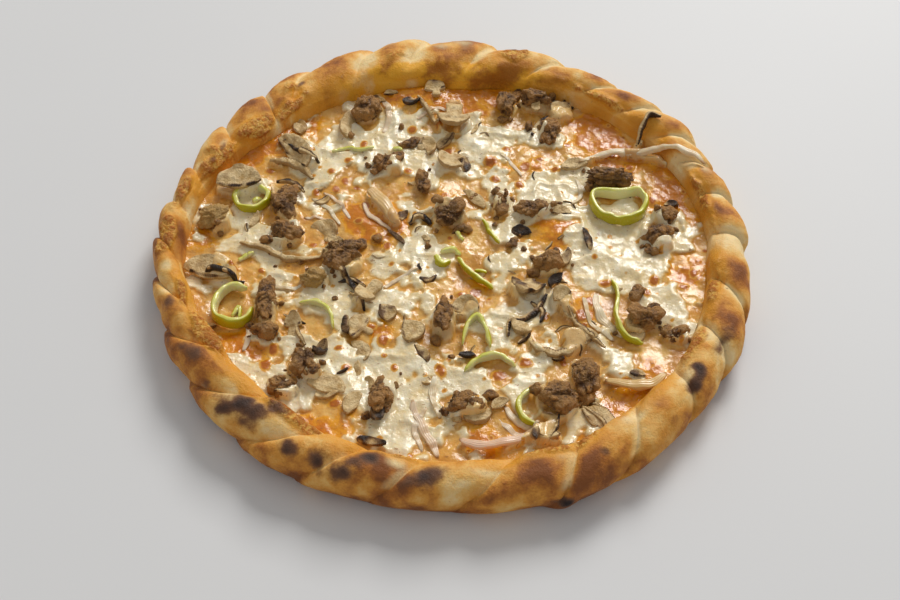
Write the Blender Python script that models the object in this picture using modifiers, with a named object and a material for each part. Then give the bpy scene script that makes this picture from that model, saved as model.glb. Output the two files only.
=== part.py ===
"""A round baked pizza with a rope-folded crust, melted cheese, browned minced meat, mushroom
slices, green pepper rings and onion strips.

Metres, +Z up. The flat underside lies on z = 0, and the origin is below the middle of the
bounding box. Layout lists are in millimetres and degrees: x to the right, y away from the
front, and turns counter-clockwise seen from above.
"""
import math

import bmesh
import bpy
from mathutils import Matrix, Vector, noise
from mathutils.bvhtree import BVHTree

MM = 0.001
SHARP_ANGLE = math.radians(50.0)    # edges steeper than this are shaded sharp

# Crust: a flat base and a rolled rim, folded over itself all the way round
CRUST_RADIUS = 0.1545
WELL_RADIUS = 0.1310
RIM_HEIGHT = 0.0245
RIM_MIDDLE = 0.0115         # height of the widest point
BASE_THICKNESS = 0.0040
LIP_HEIGHT = 0.0112         # the wall is upright from the base to here
FOLD_COLUMNS = 7            # columns of faces across each fold
WALL_SECTION = 155.0        # section angle at which the creases reach the upright wall
SECTION_ANGLES = (142.0, 120.0, 98.0, 76.0, 54.0, 30.0, 5.0, -22.0, -55.0)   # the last is the foot
FOLD_SHARPNESS = 0.62
FOLD_BALANCE = 0.70         # share of a fold that stands proud of the plain rim
FOLD_SPREAD = 6.5           # degrees over which one fold's sizes blend into the next
FLAT_SECTION = 30.0         # section angle at which a fold's start angle holds
LEAN_SPAN = 80.0            # degrees of section over which a crease leans by its row's value
SKEW_FROM = 40.0            # above this section angle a fold is fullest near its start
SKEW_SPAN = 90.0
TIP_FADE = 14.0             # half the degrees of section over which a fold's inner end fades
FOOT_SECTION = -50.0        # the folds fade out from the widest point down to here

# One row for each fold: start angle, lean towards the inside, reach, well, height, depth, and
# the section angle of its inner tip
FOLDS = (
    (0.5, 1.0, 156.0, 134.0, 24.5, 4.6, 146.0),
    (11.5, 1.5, 155.0, 133.0, 25.0, 4.4, 142.0),
    (20.5, 3.0, 153.5, 132.0, 24.5, 4.0, 138.0),
    (28.5, 4.0, 159.5, 131.0, 25.0, 4.6, 136.0),
    (40.0, 4.0, 156.5, 129.5, 25.0, 4.6, 132.0),
    (50.5, 4.5, 153.0, 129.0, 25.5, 4.4, 128.0),
    (64.0, 5.5, 156.5, 125.0, 26.5, 4.8, 126.0),
    (80.5, 5.0, 159.5, 119.0, 27.5, 4.8, 116.0),
    (95.0, 5.5, 161.0, 122.0, 27.5, 4.8, 116.0),
    (108.0, 6.0, 160.0, 125.0, 26.5, 4.0, 120.0),
    (123.0, 8.0, 159.0, 127.0, 26.0, 2.2, 126.0),
    (134.5, 3.0, 158.0, 127.0, 25.0, 3.2, 140.0),
    (146.5, 3.5, 156.5, 134.0, 24.5, 4.0, 126.0),
    (160.0, 2.5, 154.5, 138.0, 24.0, 3.6, 140.0),
    (170.5, 1.5, 156.0, 138.5, 24.0, 3.2, 146.0),
    (179.5, 5.0, 155.5, 138.5, 24.5, 3.8, 142.0),
    (191.0, 8.0, 154.0, 134.0, 24.5, 4.0, 146.0),
    (204.5, 7.5, 154.5, 129.5, 24.0, 4.2, 146.0),
    (218.5, 8.0, 156.5, 129.0, 24.0, 4.6, 146.0),
    (234.0, 7.0, 157.5, 130.0, 23.5, 4.2, 146.0),
    (246.0, 5.0, 155.5, 131.0, 23.0, 3.4, 144.0),
    (259.0, 4.0, 155.0, 132.0, 22.5, 3.0, 144.0),
    (274.5, 5.0, 157.0, 133.0, 23.0, 3.4, 144.0),
    (289.5, 4.0, 159.5, 134.0, 23.5, 4.0, 142.0),
    (303.0, 4.5, 158.0, 132.0, 24.0, 4.0, 142.0),
    (319.0, 2.0, 156.0, 133.0, 24.0, 4.2, 142.0),
    (331.0, 3.5, 157.0, 131.5, 24.5, 4.4, 144.0),
    (343.5, 4.0, 154.5, 131.5, 24.5, 4.6, 146.0),
)
PINCH_ANGLE = 288.3         # where the end of the dough was pinched shut and juts out
PINCH_WIDTH = 2.6           # degrees
PINCH_REACH = 3.6

# Cheese: a melted layer that fills the well, with soft swells
GAP = 0.00035
CHEESE_TOP = 0.0096
CHEESE_STEPS = 90
CHEESE_RINGS = 12
EDGE_CLIMB = 0.0014         # the cheese climbs towards the crust, ever more steeply
EDGE_POWER = 14
EDGE_TOP = 0.0118           # but its very edge is no higher than this
WALL_GAP = 1.6 * GAP        # more than the gap, as the creases cut across the wall
RIPPLE = 0.0006             # height of the soft waves, and the lengths that set their spacing
RIPPLE_X = 0.0083
RIPPLE_Y = 0.0097
SWELLS = (                  # x, y, radius, height
    (-10, 117, 20, 4.5), (22, 112, 16, 3.5), (-32, 121, 14, 3.0), (56, 12, 15, 3.6),
    (43, 65, 14, 1.8), (85, 78, 18, 1.6), (-106, 78, 19, 2.6), (-45, 20, 18, 1.6),
    (-3, 36, 14, 1.4), (67, -40, 12, 1.8), (13, -25, 15, -1.2), (-35, -52, 15, 1.4),
    (20, -114, 16, 1.2), (-55, -112, 14, 1.6), (-100, -68, 16, 1.0), (118, 45, 16, 2.2),
    (112, -22, 16, 1.2), (92, -80, 16, 1.0), (-30, 100, 14, 1.6), (26, 92, 16, 1.0),
    (-60, 60, 16, 1.0), (-20, -30, 16, 1.0), (20, -90, 14, 0.8), (-50, -88, 14, 1.2),
)

# A lump is a ball that noise pushes in and out, cut flat below
LUMP_CRAGS = 1.7            # noise across the ball's radius
LUMP_SWELLS = 0.8
LUMP_SIZE = 0.96            # the ball's radius before the noise
LUMP_FOOT = 0.45            # share of the radius that is kept below the ball's middle
MEAT_ROUGHNESS = 0.42
BIT_ROUGHNESS = 0.15

# Small toppings that are fused to the cheese: x, y, length, width, height, turn
BITS = (
    (-13, 73, 17, 9, 5, 100), (35, 14, 10, 9, 6, 0), (-46, -98, 15, 6, 4, 60),
    (-21, 109, 12, 8, 5, 100), (-95, -5, 30, 5, 4, -14), (80, -45, 26, 4, 3, 120),
    (-68, 15, 26, 6, 4, -32), (-6, -11, 12, 9, 5, 80), (-60, 91, 23, 8, 4, 75),
    (-19, -60, 12, 9, 5, 35), (-11, -112, 30, 5, 3, 112), (14, -113, 15, 8, 4, 5),
    (-41, 4, 10, 8, 4, 0), (12, 37, 9, 7, 4, 30), (-80, 92, 10, 7, 4, 0),
    (-106, 60, 13, 6, 4, 10), (-30, -42, 10, 8, 4, 90), (-46, -62, 12, 8, 4, 90),
    (73, 5, 12, 5, 4, 95), (66, 62, 13, 7, 4, 10), (89, -66, 12, 5, 3, 5),
    (-79, -52, 15, 7, 5, 95), (30, -117, 12, 7, 4, 40), (117, 34, 10, 6, 4, 0),
    (-55, 72, 22, 5, 4, 0), (-28, 73, 11, 8, 4, 90), (20, 12, 17, 5, 4, -62),
    (-86, 82, 9, 5, 4, -40),
)

BIT_SUNK = 0.4              # share of a bit's height that is in the cheese

# Meat: craggy browned lumps: x, y, length, width, height, turn
MEAT = (
    (-48, 101, 20, 16, 11, 0), (-36, 61, 16, 11, 8, -20), (-16, 46, 19, 9, 7, 80),
    (-1, 22, 20, 16, 11, 90), (-90, 31, 27, 13, 10, 112), (-87, 9, 17, 13, 8, 20),
    (-57, -9, 23, 18, 11, -35), (-93, -38, 27, 11, 10, 100), (-93, -58, 13, 12, 8, 0),
    (-71, -77, 18, 13, 10, -45), (-80, -90, 15, 12, 8, -20), (-33, -96, 23, 11, 10, 80),
    (-4, -49, 24, 10, 9, 86), (7, -100, 20, 13, 9, 0), (50, -98, 23, 18, 12, -60),
    (65, -85, 23, 11, 10, 108), (97, -48, 18, 14, 10, 15), (111, -58, 12, 8, 7, -35),
    (50, -12, 18, 11, 9, 35), (85, 48, 25, 14, 11, -5), (26, 30, 17, 9, 8, 95),
    (45, 25, 23, 10, 8, 15), (114, 22, 15, 10, 8, -20), (107, 6, 20, 15, 9, -40),
    (30, 106, 15, 11, 9, 90), (47, 110, 18, 10, 9, -15), (56, 86, 20, 11, 8, 95),
    (-125, 18, 18, 14, 8, 10), (-70, -22, 15, 13, 8, 0),
)

# Mushroom slices: x, y, cap width, cap height, stem width, stem length, tilt, turn
SLICES = (
    (-116, 46, 24, 12, 0, 0, 18, 8), (-83, 72, 29, 11, 0, 0, 25, -52),
    (-123, -14, 27, 11, 0, 0, 16, -14), (-42, -32, 12, 8, 6, 9, 15, 140),
    (1, 97, 19, 9, 9, 14, 8, 178), (0, 63, 16, 9, 6, 7, 15, 140),
    (7, -41, 14, 9, 6, 3, 20, 0), (38, -28, 18, 10, 6, 4, 25, 165),
    (62, -57, 17, 8, 0, 0, 20, 20), (57, -40, 10, 7, 5, 12, 15, 25),
    (45, -115, 13, 7, 5, 6, 15, 150), (62, 103, 14, 10, 5, 4, 20, 60),
)
SLICE_THICKNESS = 0.0032
CAP_STEPS = 9               # straight edges round half a cap
CAP_FULLNESS = 0.9          # 1 makes the cap half an ellipse, less makes it squarer

# Strips cut across a curved wall: name, wall, tall, taper at the ends, closed, points
STRIPS = (
    ("mushroom", 4.0, 4.0, 0.45, False, ((38, -60), (44, -67), (54, -69), (65, -63))),
    ("mushroom", 4.0, 4.0, 0.55, False, ((-101, 62), (-92, 61), (-83, 57), (-77, 50))),
    ("mushroom", 3.0, 3.4, 0.50, False, ((116, 85), (110, 86), (106, 80), (102, 72))),
    ("pepper", 4.2, 5.5, 1.0, True, (
        (-117, 33), (-114, 40), (-107, 42), (-100, 38), (-100, 31), (-106, 26), (-113, 27))),
    ("pepper", 4.6, 7.0, 0.7, False, (
        (-104, -30), (-112, -29), (-118, -37), (-118, -47), (-110, -53), (-102, -50), (-100, -43))),
    ("pepper", 3.4, 4.5, 0.5, False, ((-77, -38), (-68, -38), (-61, -44), (-59, -54))),
    ("pepper", 4.2, 7.0, 1.0, True, (
        (75, 32), (78, 38), (90, 37), (101, 38), (104, 31), (100, 22), (90, 18), (79, 22))),
    ("pepper", 3.6, 5.0, 0.6, False, (
        (5, -64), (8, -52), (13, -47), (17, -55), (19, -65))),
    ("pepper", 4.2, 5.0, 0.5, False, ((6, -80), (13, -73), (23, -71), (31, -77))),
    ("pepper", 4.2, 5.0, 0.5, False, ((38, -90), (32, -98), (34, -107), (40, -111))),
    ("pepper", 3.6, 5.5, 0.5, False, ((82, -22), (84, -34), (82, -46), (85, -58), (94, -63))),
    ("pepper", 3.8, 4.5, 0.5, False, ((3, -7), (10, -17), (21, -27))),
    ("onion", 4.0, 5.0, 0.5, False, (
        (70, 62), (84, 68), (98, 69), (110, 66), (121, 62), (130, 56), (136, 49))),
    ("onion", 4.4, 4.5, 0.5, False, ((4, -119), (13, -123), (26, -121), (40, -116))),
    ("onion", 7.0, 5.0, 0.5, False, ((-45, 40), (-38, 30), (-29, 15))),
    ("onion", 5.4, 4.4, 0.4, False, ((74, -85), (85, -89), (96, -88), (103, -82))),
)
STRIP_SPACING = 0.0048      # distance between the points along a strip
FINE_STEPS = 12             # points of the smooth curve between two hand-set ones
STRIP_FULLNESS = 0.6        # a strip thins out towards its ends, late if this is small

COLOURS = {                 # base colour and roughness
    "dough": ((0.62, 0.38, 0.16), 0.75), "cheese": ((0.85, 0.76, 0.55), 0.35),
    "meat": ((0.16, 0.09, 0.05), 0.60), "mushroom": ((0.42, 0.31, 0.19), 0.55),
    "pepper": ((0.42, 0.52, 0.08), 0.30), "onion": ((0.80, 0.66, 0.48), 0.35),
}


def material_for(kind):
    """Return the Principled material of one kind of food, made on its first use."""
    material = bpy.data.materials.get(kind)
    if material is None:
        material = bpy.data.materials.new(kind)
        material.use_nodes = True
        shader = material.node_tree.nodes["Principled BSDF"]
        colour, roughness = COLOURS[kind]
        shader.inputs["Base Color"].default_value = (*colour, 1.0)
        shader.inputs["Roughness"].default_value = roughness
        shader.inputs["Metallic"].default_value = 0.0
    return material


def add_object(name, data, collection, kind):
    """Put mesh or curve data into the collection as one named object."""
    obj = bpy.data.objects.new(name, data)
    collection.objects.link(obj)
    data.materials.append(material_for(kind))
    return obj


def as_mesh(obj, collection, kind):
    """Replace an object by the welded mesh that it evaluates to, in world coordinates."""
    bpy.context.view_layer.update()
    evaluated = obj.evaluated_get(bpy.context.evaluated_depsgraph_get())
    mesh = bpy.data.meshes.new_from_object(evaluated)
    mesh.transform(obj.matrix_world)
    name = obj.name
    bpy.data.objects.remove(obj)
    shape = bmesh.new()
    shape.from_mesh(mesh)
    bmesh.ops.remove_doubles(shape, verts=shape.verts, dist=1e-6)
    bmesh.ops.recalc_face_normals(shape, faces=shape.faces)
    shape.to_mesh(mesh)
    shape.free()
    mesh.materials.clear()
    solid = add_object(name, mesh, collection, kind)
    mesh.shade_smooth()
    mesh.set_sharp_from_angle(angle=SHARP_ANGLE)
    return solid


def turned(name, profile, steps, collection, kind):
    """Turn a profile of (radius, height) points about +Z into a closed solid."""
    mesh = bpy.data.meshes.new(name)
    points = [(radius, 0.0, height) for radius, height in profile]
    edges = [(i, i + 1) for i in range(len(points) - 1)]
    mesh.from_pydata(points, edges, [])
    obj = add_object(name, mesh, collection, kind)
    screw = obj.modifiers.new("turn", "SCREW")
    screw.steps = steps
    screw.render_steps = steps
    screw.use_merge_vertices = True
    screw.merge_threshold = 1e-6
    return as_mesh(obj, collection, kind)


def round_blend(angle, column):
    """Blend one column of the fold list smoothly between the middles of the folds."""
    total = 0.0
    weight_sum = 0.0
    for index, row in enumerate(FOLDS):
        following = FOLDS[(index + 1) % len(FOLDS)][0]
        middle = row[0] + ((following - row[0]) % 360.0) / 2.0
        away = (angle - middle + 180.0) % 360.0 - 180.0
        weight = math.exp(-(away / FOLD_SPREAD) ** 2)
        total += weight * row[column]
        weight_sum += weight
    return total / weight_sum


def ramp(value, low, high):
    """Share of the way from low to high, held between 0 and 1."""
    return min(max((value - low) / (high - low), 0.0), 1.0)


def fold_place(angle, section):
    """Carry an even angle round the plain ring to the folds: true angle and height of the lobe.

    Each crease leans with the section angle, as on a rope. Between two creases the surface
    is a lobe that rises steeply from the first and falls away slowly to the second, and
    evenly on the inside of the rim, where it ends in a rounded tip.
    """
    number = round(angle / 360.0 * len(FOLDS) * FOLD_COLUMNS) / FOLD_COLUMNS % len(FOLDS)
    index = int(number)
    share = number - index
    here = FOLDS[index]
    following = FOLDS[(index + 1) % len(FOLDS)]
    lean = (section - FLAT_SECTION) / LEAN_SPAN
    start = here[0] + here[1] * lean
    width = (following[0] + following[1] * lean - start) % 360.0
    skew = 0.5 + 0.4 * ramp(section, SKEW_FROM, SKEW_FROM + SKEW_SPAN)
    lobe = max(math.sin(math.pi * share ** skew), 0.0) ** FOLD_SHARPNESS
    return start + share * width, here[5] * MM * (lobe - FOLD_BALANCE)


def rim_profile():
    """Plain section of base and rim, from the middle of the top to the middle of the bottom."""
    middle = (CRUST_RADIUS + WELL_RADIUS) / 2.0
    half_width = (CRUST_RADIUS - WELL_RADIUS) / 2.0
    profile = [(0.0, BASE_THICKNESS), (WELL_RADIUS, BASE_THICKNESS), (WELL_RADIUS, LIP_HEIGHT)]
    for section in SECTION_ANGLES:
        turn = math.radians(section)
        rise = RIM_HEIGHT - RIM_MIDDLE
        if section < 0.0:
            rise = RIM_MIDDLE / math.sin(math.radians(-SECTION_ANGLES[-1]))
        profile.append((middle + half_width * math.cos(turn), RIM_MIDDLE + rise * math.sin(turn)))
    profile.append((0.0, 0.0))
    return profile


def shape_rim(point):
    """Move a point of the plain turned crust to its place on the folded one."""
    radius = math.hypot(point.x, point.y)
    if radius < 1e-5:
        return point.copy()
    even_angle = math.degrees(math.atan2(point.y, point.x)) % 360.0
    middle = (CRUST_RADIUS + WELL_RADIUS) / 2.0
    half_width = (CRUST_RADIUS - WELL_RADIUS) / 2.0
    rise = RIM_HEIGHT - RIM_MIDDLE
    section = WALL_SECTION
    on_rim = radius > WELL_RADIUS + 1e-5
    if on_rim:
        section = math.degrees(math.atan2((point.z - RIM_MIDDLE) / rise, (radius - middle) / half_width))
    angle, bulge = fold_place(even_angle, section)
    proud = (1.0 - FOLD_BALANCE) * round_blend(angle, 5) * MM
    inner = round_blend(angle, 3) * MM
    outer = round_blend(angle, 2) * MM - proud
    tall = round_blend(angle, 4) * MM - proud
    across = (radius - WELL_RADIUS) / (CRUST_RADIUS - WELL_RADIUS)
    new_radius = inner + across * (outer - inner)
    new_height = point.z
    if on_rim:
        if point.z > RIM_MIDDLE:
            new_height = RIM_MIDDLE + (point.z - RIM_MIDDLE) * (tall - RIM_MIDDLE) / rise
        tip = round_blend(angle, 6)
        strength = ramp(section, tip + TIP_FADE, tip - TIP_FADE) * ramp(section, FOOT_SECTION, 0.0)
        pinch = PINCH_REACH * MM * math.exp(-((angle - PINCH_ANGLE) / PINCH_WIDTH) ** 2)
        outwards = math.cos(math.radians(section))
        new_radius += bulge * strength * outwards + pinch * max(outwards, 0.0)
        new_height += bulge * strength * max(math.sin(math.radians(section)), 0.0)
    turn = math.radians(angle)
    return Vector((new_radius * math.cos(turn), new_radius * math.sin(turn), new_height))


def make_dough(collection):
    """Base and rope-folded rim, one piece of dough."""
    dough = turned("dough", rim_profile(), len(FOLDS) * FOLD_COLUMNS, collection, "dough")
    for vertex in dough.data.vertices:
        vertex.co = shape_rim(vertex.co)
    return dough


def cheese_height(x, y):
    """Top of the cheese: a level layer, soft waves, the swells and a climb at its edge."""
    height = CHEESE_TOP + RIPPLE * math.sin(x / RIPPLE_X) * math.sin(y / RIPPLE_Y)
    for swell_x, swell_y, swell_radius, swell_height in SWELLS:
        away = ((x / MM - swell_x) ** 2 + (y / MM - swell_y) ** 2) / swell_radius ** 2
        height += swell_height * MM * math.exp(-away)
    edge = math.hypot(x, y) / WELL_RADIUS
    return height + EDGE_CLIMB * edge ** EDGE_POWER


def make_lump(name, row, seed, detail, roughness, collection, kind):
    """A craggy closed lump from an icosphere, flat-bottomed, standing on z = 0."""
    x, y, length, width, height, turn = row
    shape = bmesh.new()
    bmesh.ops.create_icosphere(shape, subdivisions=detail, radius=1.0)
    for vertex in shape.verts:
        crag = noise.noise(vertex.co * LUMP_CRAGS + Vector((seed * 3.1, seed * 1.7, seed * 0.9)))
        swell = noise.noise(vertex.co * LUMP_SWELLS + Vector((seed * 0.7, 5.0, seed * 1.3)))
        point = vertex.co * (LUMP_SIZE + roughness * (crag + 0.5 * swell))
        point.z = max(point.z, -LUMP_FOOT)
        size = Vector((length / 2.0, width / 2.0, height / (1.0 + LUMP_FOOT))) * MM
        vertex.co = Vector((point.x * size.x, point.y * size.y, (point.z + LUMP_FOOT) * size.z))
    mesh = bpy.data.meshes.new(name)
    shape.to_mesh(mesh)
    shape.free()
    obj = add_object(name, mesh, collection, kind)
    mesh.shade_smooth()
    obj.location = (x * MM, y * MM, 0.0)
    obj.rotation_euler = (0.0, 0.0, math.radians(turn))
    return obj


def make_cheese(collection):
    """Melted cheese with the small toppings that are stuck in it, joined by one union."""
    profile = [(WELL_RADIUS * ring / CHEESE_RINGS, CHEESE_TOP) for ring in range(CHEESE_RINGS + 1)]
    profile += [(WELL_RADIUS, BASE_THICKNESS + GAP), (0.0, BASE_THICKNESS + GAP)]
    cheese = turned("cheese", profile, CHEESE_STEPS, collection, "cheese")
    for vertex in cheese.data.vertices:
        radius = math.hypot(vertex.co.x, vertex.co.y)
        angle = math.degrees(math.atan2(vertex.co.y, vertex.co.x))
        inwards = (round_blend(angle, 3) * MM - WALL_GAP) / WELL_RADIUS
        vertex.co.x *= inwards
        vertex.co.y *= inwards
        if vertex.co.z > BASE_THICKNESS + 2.0 * GAP:
            vertex.co.z = cheese_height(vertex.co.x, vertex.co.y)
            if radius > 0.999 * WELL_RADIUS:
                vertex.co.z = min(vertex.co.z, EDGE_TOP)
    bits = bpy.data.collections.new("bits")
    bpy.context.scene.collection.children.link(bits)
    tree = world_tree([cheese])[1]
    for index, row in enumerate(BITS):
        bit = make_lump(f"bit_{index:02d}", row, 40 + index, 1, BIT_ROUGHNESS, bits, "cheese")
        bit.location.z = ground_height(tree, row[0] * MM, row[1] * MM) - BIT_SUNK * row[4] * MM
    union = cheese.modifiers.new("stuck on", "BOOLEAN")
    union.operation = "UNION"
    union.operand_type = "COLLECTION"
    union.collection = bits
    solid = as_mesh(cheese, collection, "cheese")
    for bit in list(bits.objects):
        bpy.data.objects.remove(bit)
    bpy.data.collections.remove(bits)
    return solid


def world_tree(objects):
    """Search tree over the faces of some objects, in world coordinates."""
    bpy.context.view_layer.update()
    points = []
    faces = []
    for obj in objects:
        first = len(points)
        points += [obj.matrix_world @ vertex.co for vertex in obj.data.vertices]
        faces += [[first + i for i in polygon.vertices] for polygon in obj.data.polygons]
    return points, BVHTree.FromPolygons(points, faces)


def ground_height(tree, x, y):
    """Height of the highest surface at a place."""
    hit = tree.ray_cast(Vector((x, y, 1.0)), Vector((0.0, 0.0, -1.0)))[0]
    return hit.z if hit else 0.0


def settle(obj, below):
    """Lower or raise a piece until it lies a hair above what is below it."""
    ground_points, ground = world_tree(below)
    points, tree = world_tree([obj])
    up = Vector((0.0, 0.0, 1.0))
    low_x, high_x = min(p.x for p in points), max(p.x for p in points)
    low_y, high_y = min(p.y for p in points), max(p.y for p in points)
    under_piece = [p for p in ground_points if low_x <= p.x <= high_x and low_y <= p.y <= high_y]
    lift = -1.0
    for point in points + under_piece:
        bottom = tree.ray_cast(Vector((point.x, point.y, -1.0)), up)[0]
        if bottom:
            lift = max(lift, ground_height(ground, point.x, point.y) - bottom.z)
    obj.location.z += lift + GAP
    while world_tree([obj])[1].overlap(ground):
        obj.location.z += GAP


def make_slice(name, row, collection):
    """A mushroom slice: the outline of cap and stem as a flat curve, extruded and tilted."""
    x, y, cap_width, cap_height, stem_width, stem_length, tilt, turn = row
    curve = bpy.data.curves.new(name, "CURVE")
    curve.dimensions = "2D"
    curve.fill_mode = "BOTH"
    curve.extrude = SLICE_THICKNESS / 2.0
    arc = [math.pi * step / CAP_STEPS for step in range(CAP_STEPS + 1)]
    outline = [(cap_width / 2.0 * math.cos(a), cap_height * math.sin(a) ** CAP_FULLNESS) for a in arc]
    if stem_length:
        outline += [(-stem_width / 2.0, -1.0), (-stem_width / 2.4, -stem_length)]
        outline += [(stem_width / 2.4, -stem_length), (stem_width / 2.0, -1.0)]
    else:
        outline += [(-cap_width / 5.0, -cap_height * 0.2), (cap_width / 5.0, -cap_height * 0.2)]
    spline = curve.splines.new("POLY")
    spline.points.add(len(outline) - 1)
    middle = (cap_height - stem_length) / 2.0
    for point, (across, along) in zip(spline.points, outline):
        point.co = (across * MM, (along - middle) * MM, 0.0, 1.0)
    spline.use_cyclic_u = True
    obj = add_object(name, curve, collection, "mushroom")
    flat = as_mesh(obj, collection, "mushroom")
    flat.location = (x * MM, y * MM, 0.0)
    flat.rotation_euler = (math.radians(tilt), 0.0, math.radians(turn))
    return flat


def smooth_path(points, closed, spacing):
    """Evenly spaced points on a smooth curve (Catmull-Rom) through hand-set ones."""
    knots = [Vector((x * MM, y * MM)) for x, y in points]
    if closed:
        knots = [knots[-1]] + knots + knots[:2]
    else:
        knots = [2.0 * knots[0] - knots[1]] + knots + [2.0 * knots[-1] - knots[-2]]
    fine = []
    for a, b, c, d in zip(knots, knots[1:], knots[2:], knots[3:]):
        for step in range(FINE_STEPS):
            t = step / FINE_STEPS
            fine.append(0.5 * (2.0 * b + (c - a) * t + (2.0 * a - 5.0 * b + 4.0 * c - d) * t ** 2
                               + (3.0 * b - 3.0 * c + d - a) * t ** 3))
    fine.append(knots[-2])
    travelled = [0.0]
    for a, b in zip(fine, fine[1:]):
        travelled.append(travelled[-1] + (b - a).length)
    count = max(round(travelled[-1] / spacing), 3)
    path = []
    for index in range(count if closed else count + 1):
        target = travelled[-1] * index / count
        at = max(i for i, distance in enumerate(travelled[:-1]) if distance <= target + 1e-9)
        share = (target - travelled[at]) / (travelled[at + 1] - travelled[at])
        path.append(fine[at].lerp(fine[at + 1], share))
    return path


def make_strip(name, row, tree, collection):
    """A strip of vegetable: a curve with an upright rounded section, laid along the ground."""
    kind, wall, tall, end_size, closed, points = row
    path = smooth_path(points, closed, STRIP_SPACING)
    curve = bpy.data.curves.new(name, "CURVE")
    curve.dimensions = "3D"
    curve.fill_mode = "FULL"
    curve.twist_mode = "Z_UP"
    curve.bevel_depth = wall / 2.0 * MM
    curve.bevel_resolution = 0
    curve.extrude = max(tall - wall, 0.4) / 2.0 * MM
    curve.use_fill_caps = True
    spline = curve.splines.new("POLY")
    spline.points.add(len(path) - 1)
    spline.use_cyclic_u = closed
    ground = [ground_height(tree, place.x, place.y) for place in path]
    for index, (point, place) in enumerate(zip(spline.points, path)):
        share = index / (len(path) - 1)
        fullness = 1.0 if closed else math.sin(math.pi * share) ** STRIP_FULLNESS
        radius = end_size + (1.0 - end_size) * fullness
        bridged = max(ground[max(index - 1, 0):index + 2])
        point.co = (place.x, place.y, bridged + radius * tall / 2.0 * MM, 1.0)
        point.radius = radius
    return as_mesh(add_object(name, curve, collection, kind), collection, kind)


def centre_on_origin(collection):
    """Move everything so that the origin is below the middle of the bounding box."""
    bpy.context.view_layer.update()
    corners = [obj.matrix_world @ vertex.co for obj in collection.objects for vertex in obj.data.vertices]
    middle_x = (min(p.x for p in corners) + max(p.x for p in corners)) / 2.0
    middle_y = (min(p.y for p in corners) + max(p.y for p in corners)) / 2.0
    shift = Matrix.Translation((-middle_x, -middle_y, 0.0))
    for obj in collection.objects:
        obj.matrix_world = shift @ obj.matrix_world


def make_pizza():
    """Dough, then cheese, then the toppings from the lowest to the highest."""
    for old in list(bpy.data.objects):
        bpy.data.objects.remove(old)
    pizza = bpy.data.collections.new("pizza")
    bpy.context.scene.collection.children.link(pizza)
    ground = [make_dough(pizza), make_cheese(pizza)]
    bare_tree = world_tree(ground)[1]
    counts = {"meat": 0, "mushroom": 0, "pepper": 0, "onion": 0}

    def next_name(kind):
        counts[kind] += 1
        return f"{kind}_{counts[kind]:02d}"

    for row in STRIPS:
        strip = make_strip(next_name(row[0]), row, bare_tree, pizza)
        settle(strip, ground)
        ground.append(strip)
    for row in SLICES:
        slice_piece = make_slice(next_name("mushroom"), row, pizza)
        settle(slice_piece, ground)
        ground.append(slice_piece)
    for index, row in enumerate(MEAT):
        lump = make_lump(next_name("meat"), row, index, 2, MEAT_ROUGHNESS, pizza, "meat")
        settle(lump, ground)
        ground.append(lump)
    centre_on_origin(pizza)


make_pizza()
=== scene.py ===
import itertools
import math

import bpy
import numpy as np
from mathutils import Matrix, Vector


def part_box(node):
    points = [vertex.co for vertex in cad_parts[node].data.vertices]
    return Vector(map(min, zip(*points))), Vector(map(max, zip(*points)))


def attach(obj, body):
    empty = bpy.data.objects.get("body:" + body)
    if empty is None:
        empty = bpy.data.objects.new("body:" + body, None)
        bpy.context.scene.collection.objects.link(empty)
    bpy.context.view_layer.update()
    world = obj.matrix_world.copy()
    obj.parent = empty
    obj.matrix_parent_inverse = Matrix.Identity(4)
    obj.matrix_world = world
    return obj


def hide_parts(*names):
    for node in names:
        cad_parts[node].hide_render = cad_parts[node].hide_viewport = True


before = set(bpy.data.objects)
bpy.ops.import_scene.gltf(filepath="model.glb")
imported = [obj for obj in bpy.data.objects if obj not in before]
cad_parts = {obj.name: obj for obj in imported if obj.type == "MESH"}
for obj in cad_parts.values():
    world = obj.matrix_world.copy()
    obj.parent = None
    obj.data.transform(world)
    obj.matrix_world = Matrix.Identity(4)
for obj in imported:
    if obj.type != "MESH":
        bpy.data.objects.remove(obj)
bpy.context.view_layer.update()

# Floor and light: the pizza lies on a plain pale floor, lit by one large soft lamp behind it
# on the right and by an even pale room. The eye looks down on it from the front at about
# 51 degrees.
MM = 0.001
EYE = (-0.0008, -0.4344, 0.5029)
LOOK_DOWN = math.radians(51.06)
ROLL = math.radians(0.28)
LENS_MM = 50.0
FLOOR_COLOUR = (0.70, 0.695, 0.69)
FLOOR_WIDTH = 16.0
LAMP_AT = (1.4, 3.6, 2.8)
LAMP_SIZE = 1.8
LAMP_POWER = 176.0
LAMP_COLOUR = (1.0, 0.995, 0.98)
ROOM_LIGHT = 0.42
ROOM_COLOUR = (1.0, 1.0, 1.0)


def aim(direction, up):
    """Turn that points an object's -Z along direction with its +Y as near to up as it can be."""
    back = -np.array(direction) / np.linalg.norm(direction)
    right = np.cross(up, back)
    right /= np.linalg.norm(right)
    return Matrix(np.stack([right, np.cross(back, right), back], axis=1).tolist()).to_4x4()


def place_camera():
    """Camera at the eye point, pitched down and rolled a little."""
    camera = bpy.data.objects.new("camera", bpy.data.cameras.new("camera"))
    camera.data.lens = LENS_MM
    camera.data.clip_start = 0.01
    forward = (0.0, math.cos(LOOK_DOWN), -math.sin(LOOK_DOWN))
    upright = aim(forward, (0.0, 0.0, 1.0))
    camera.matrix_world = Matrix.Translation(EYE) @ upright @ Matrix.Rotation(ROLL, 4, "Z")
    bpy.context.scene.collection.objects.link(camera)
    bpy.context.scene.camera = camera


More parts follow.
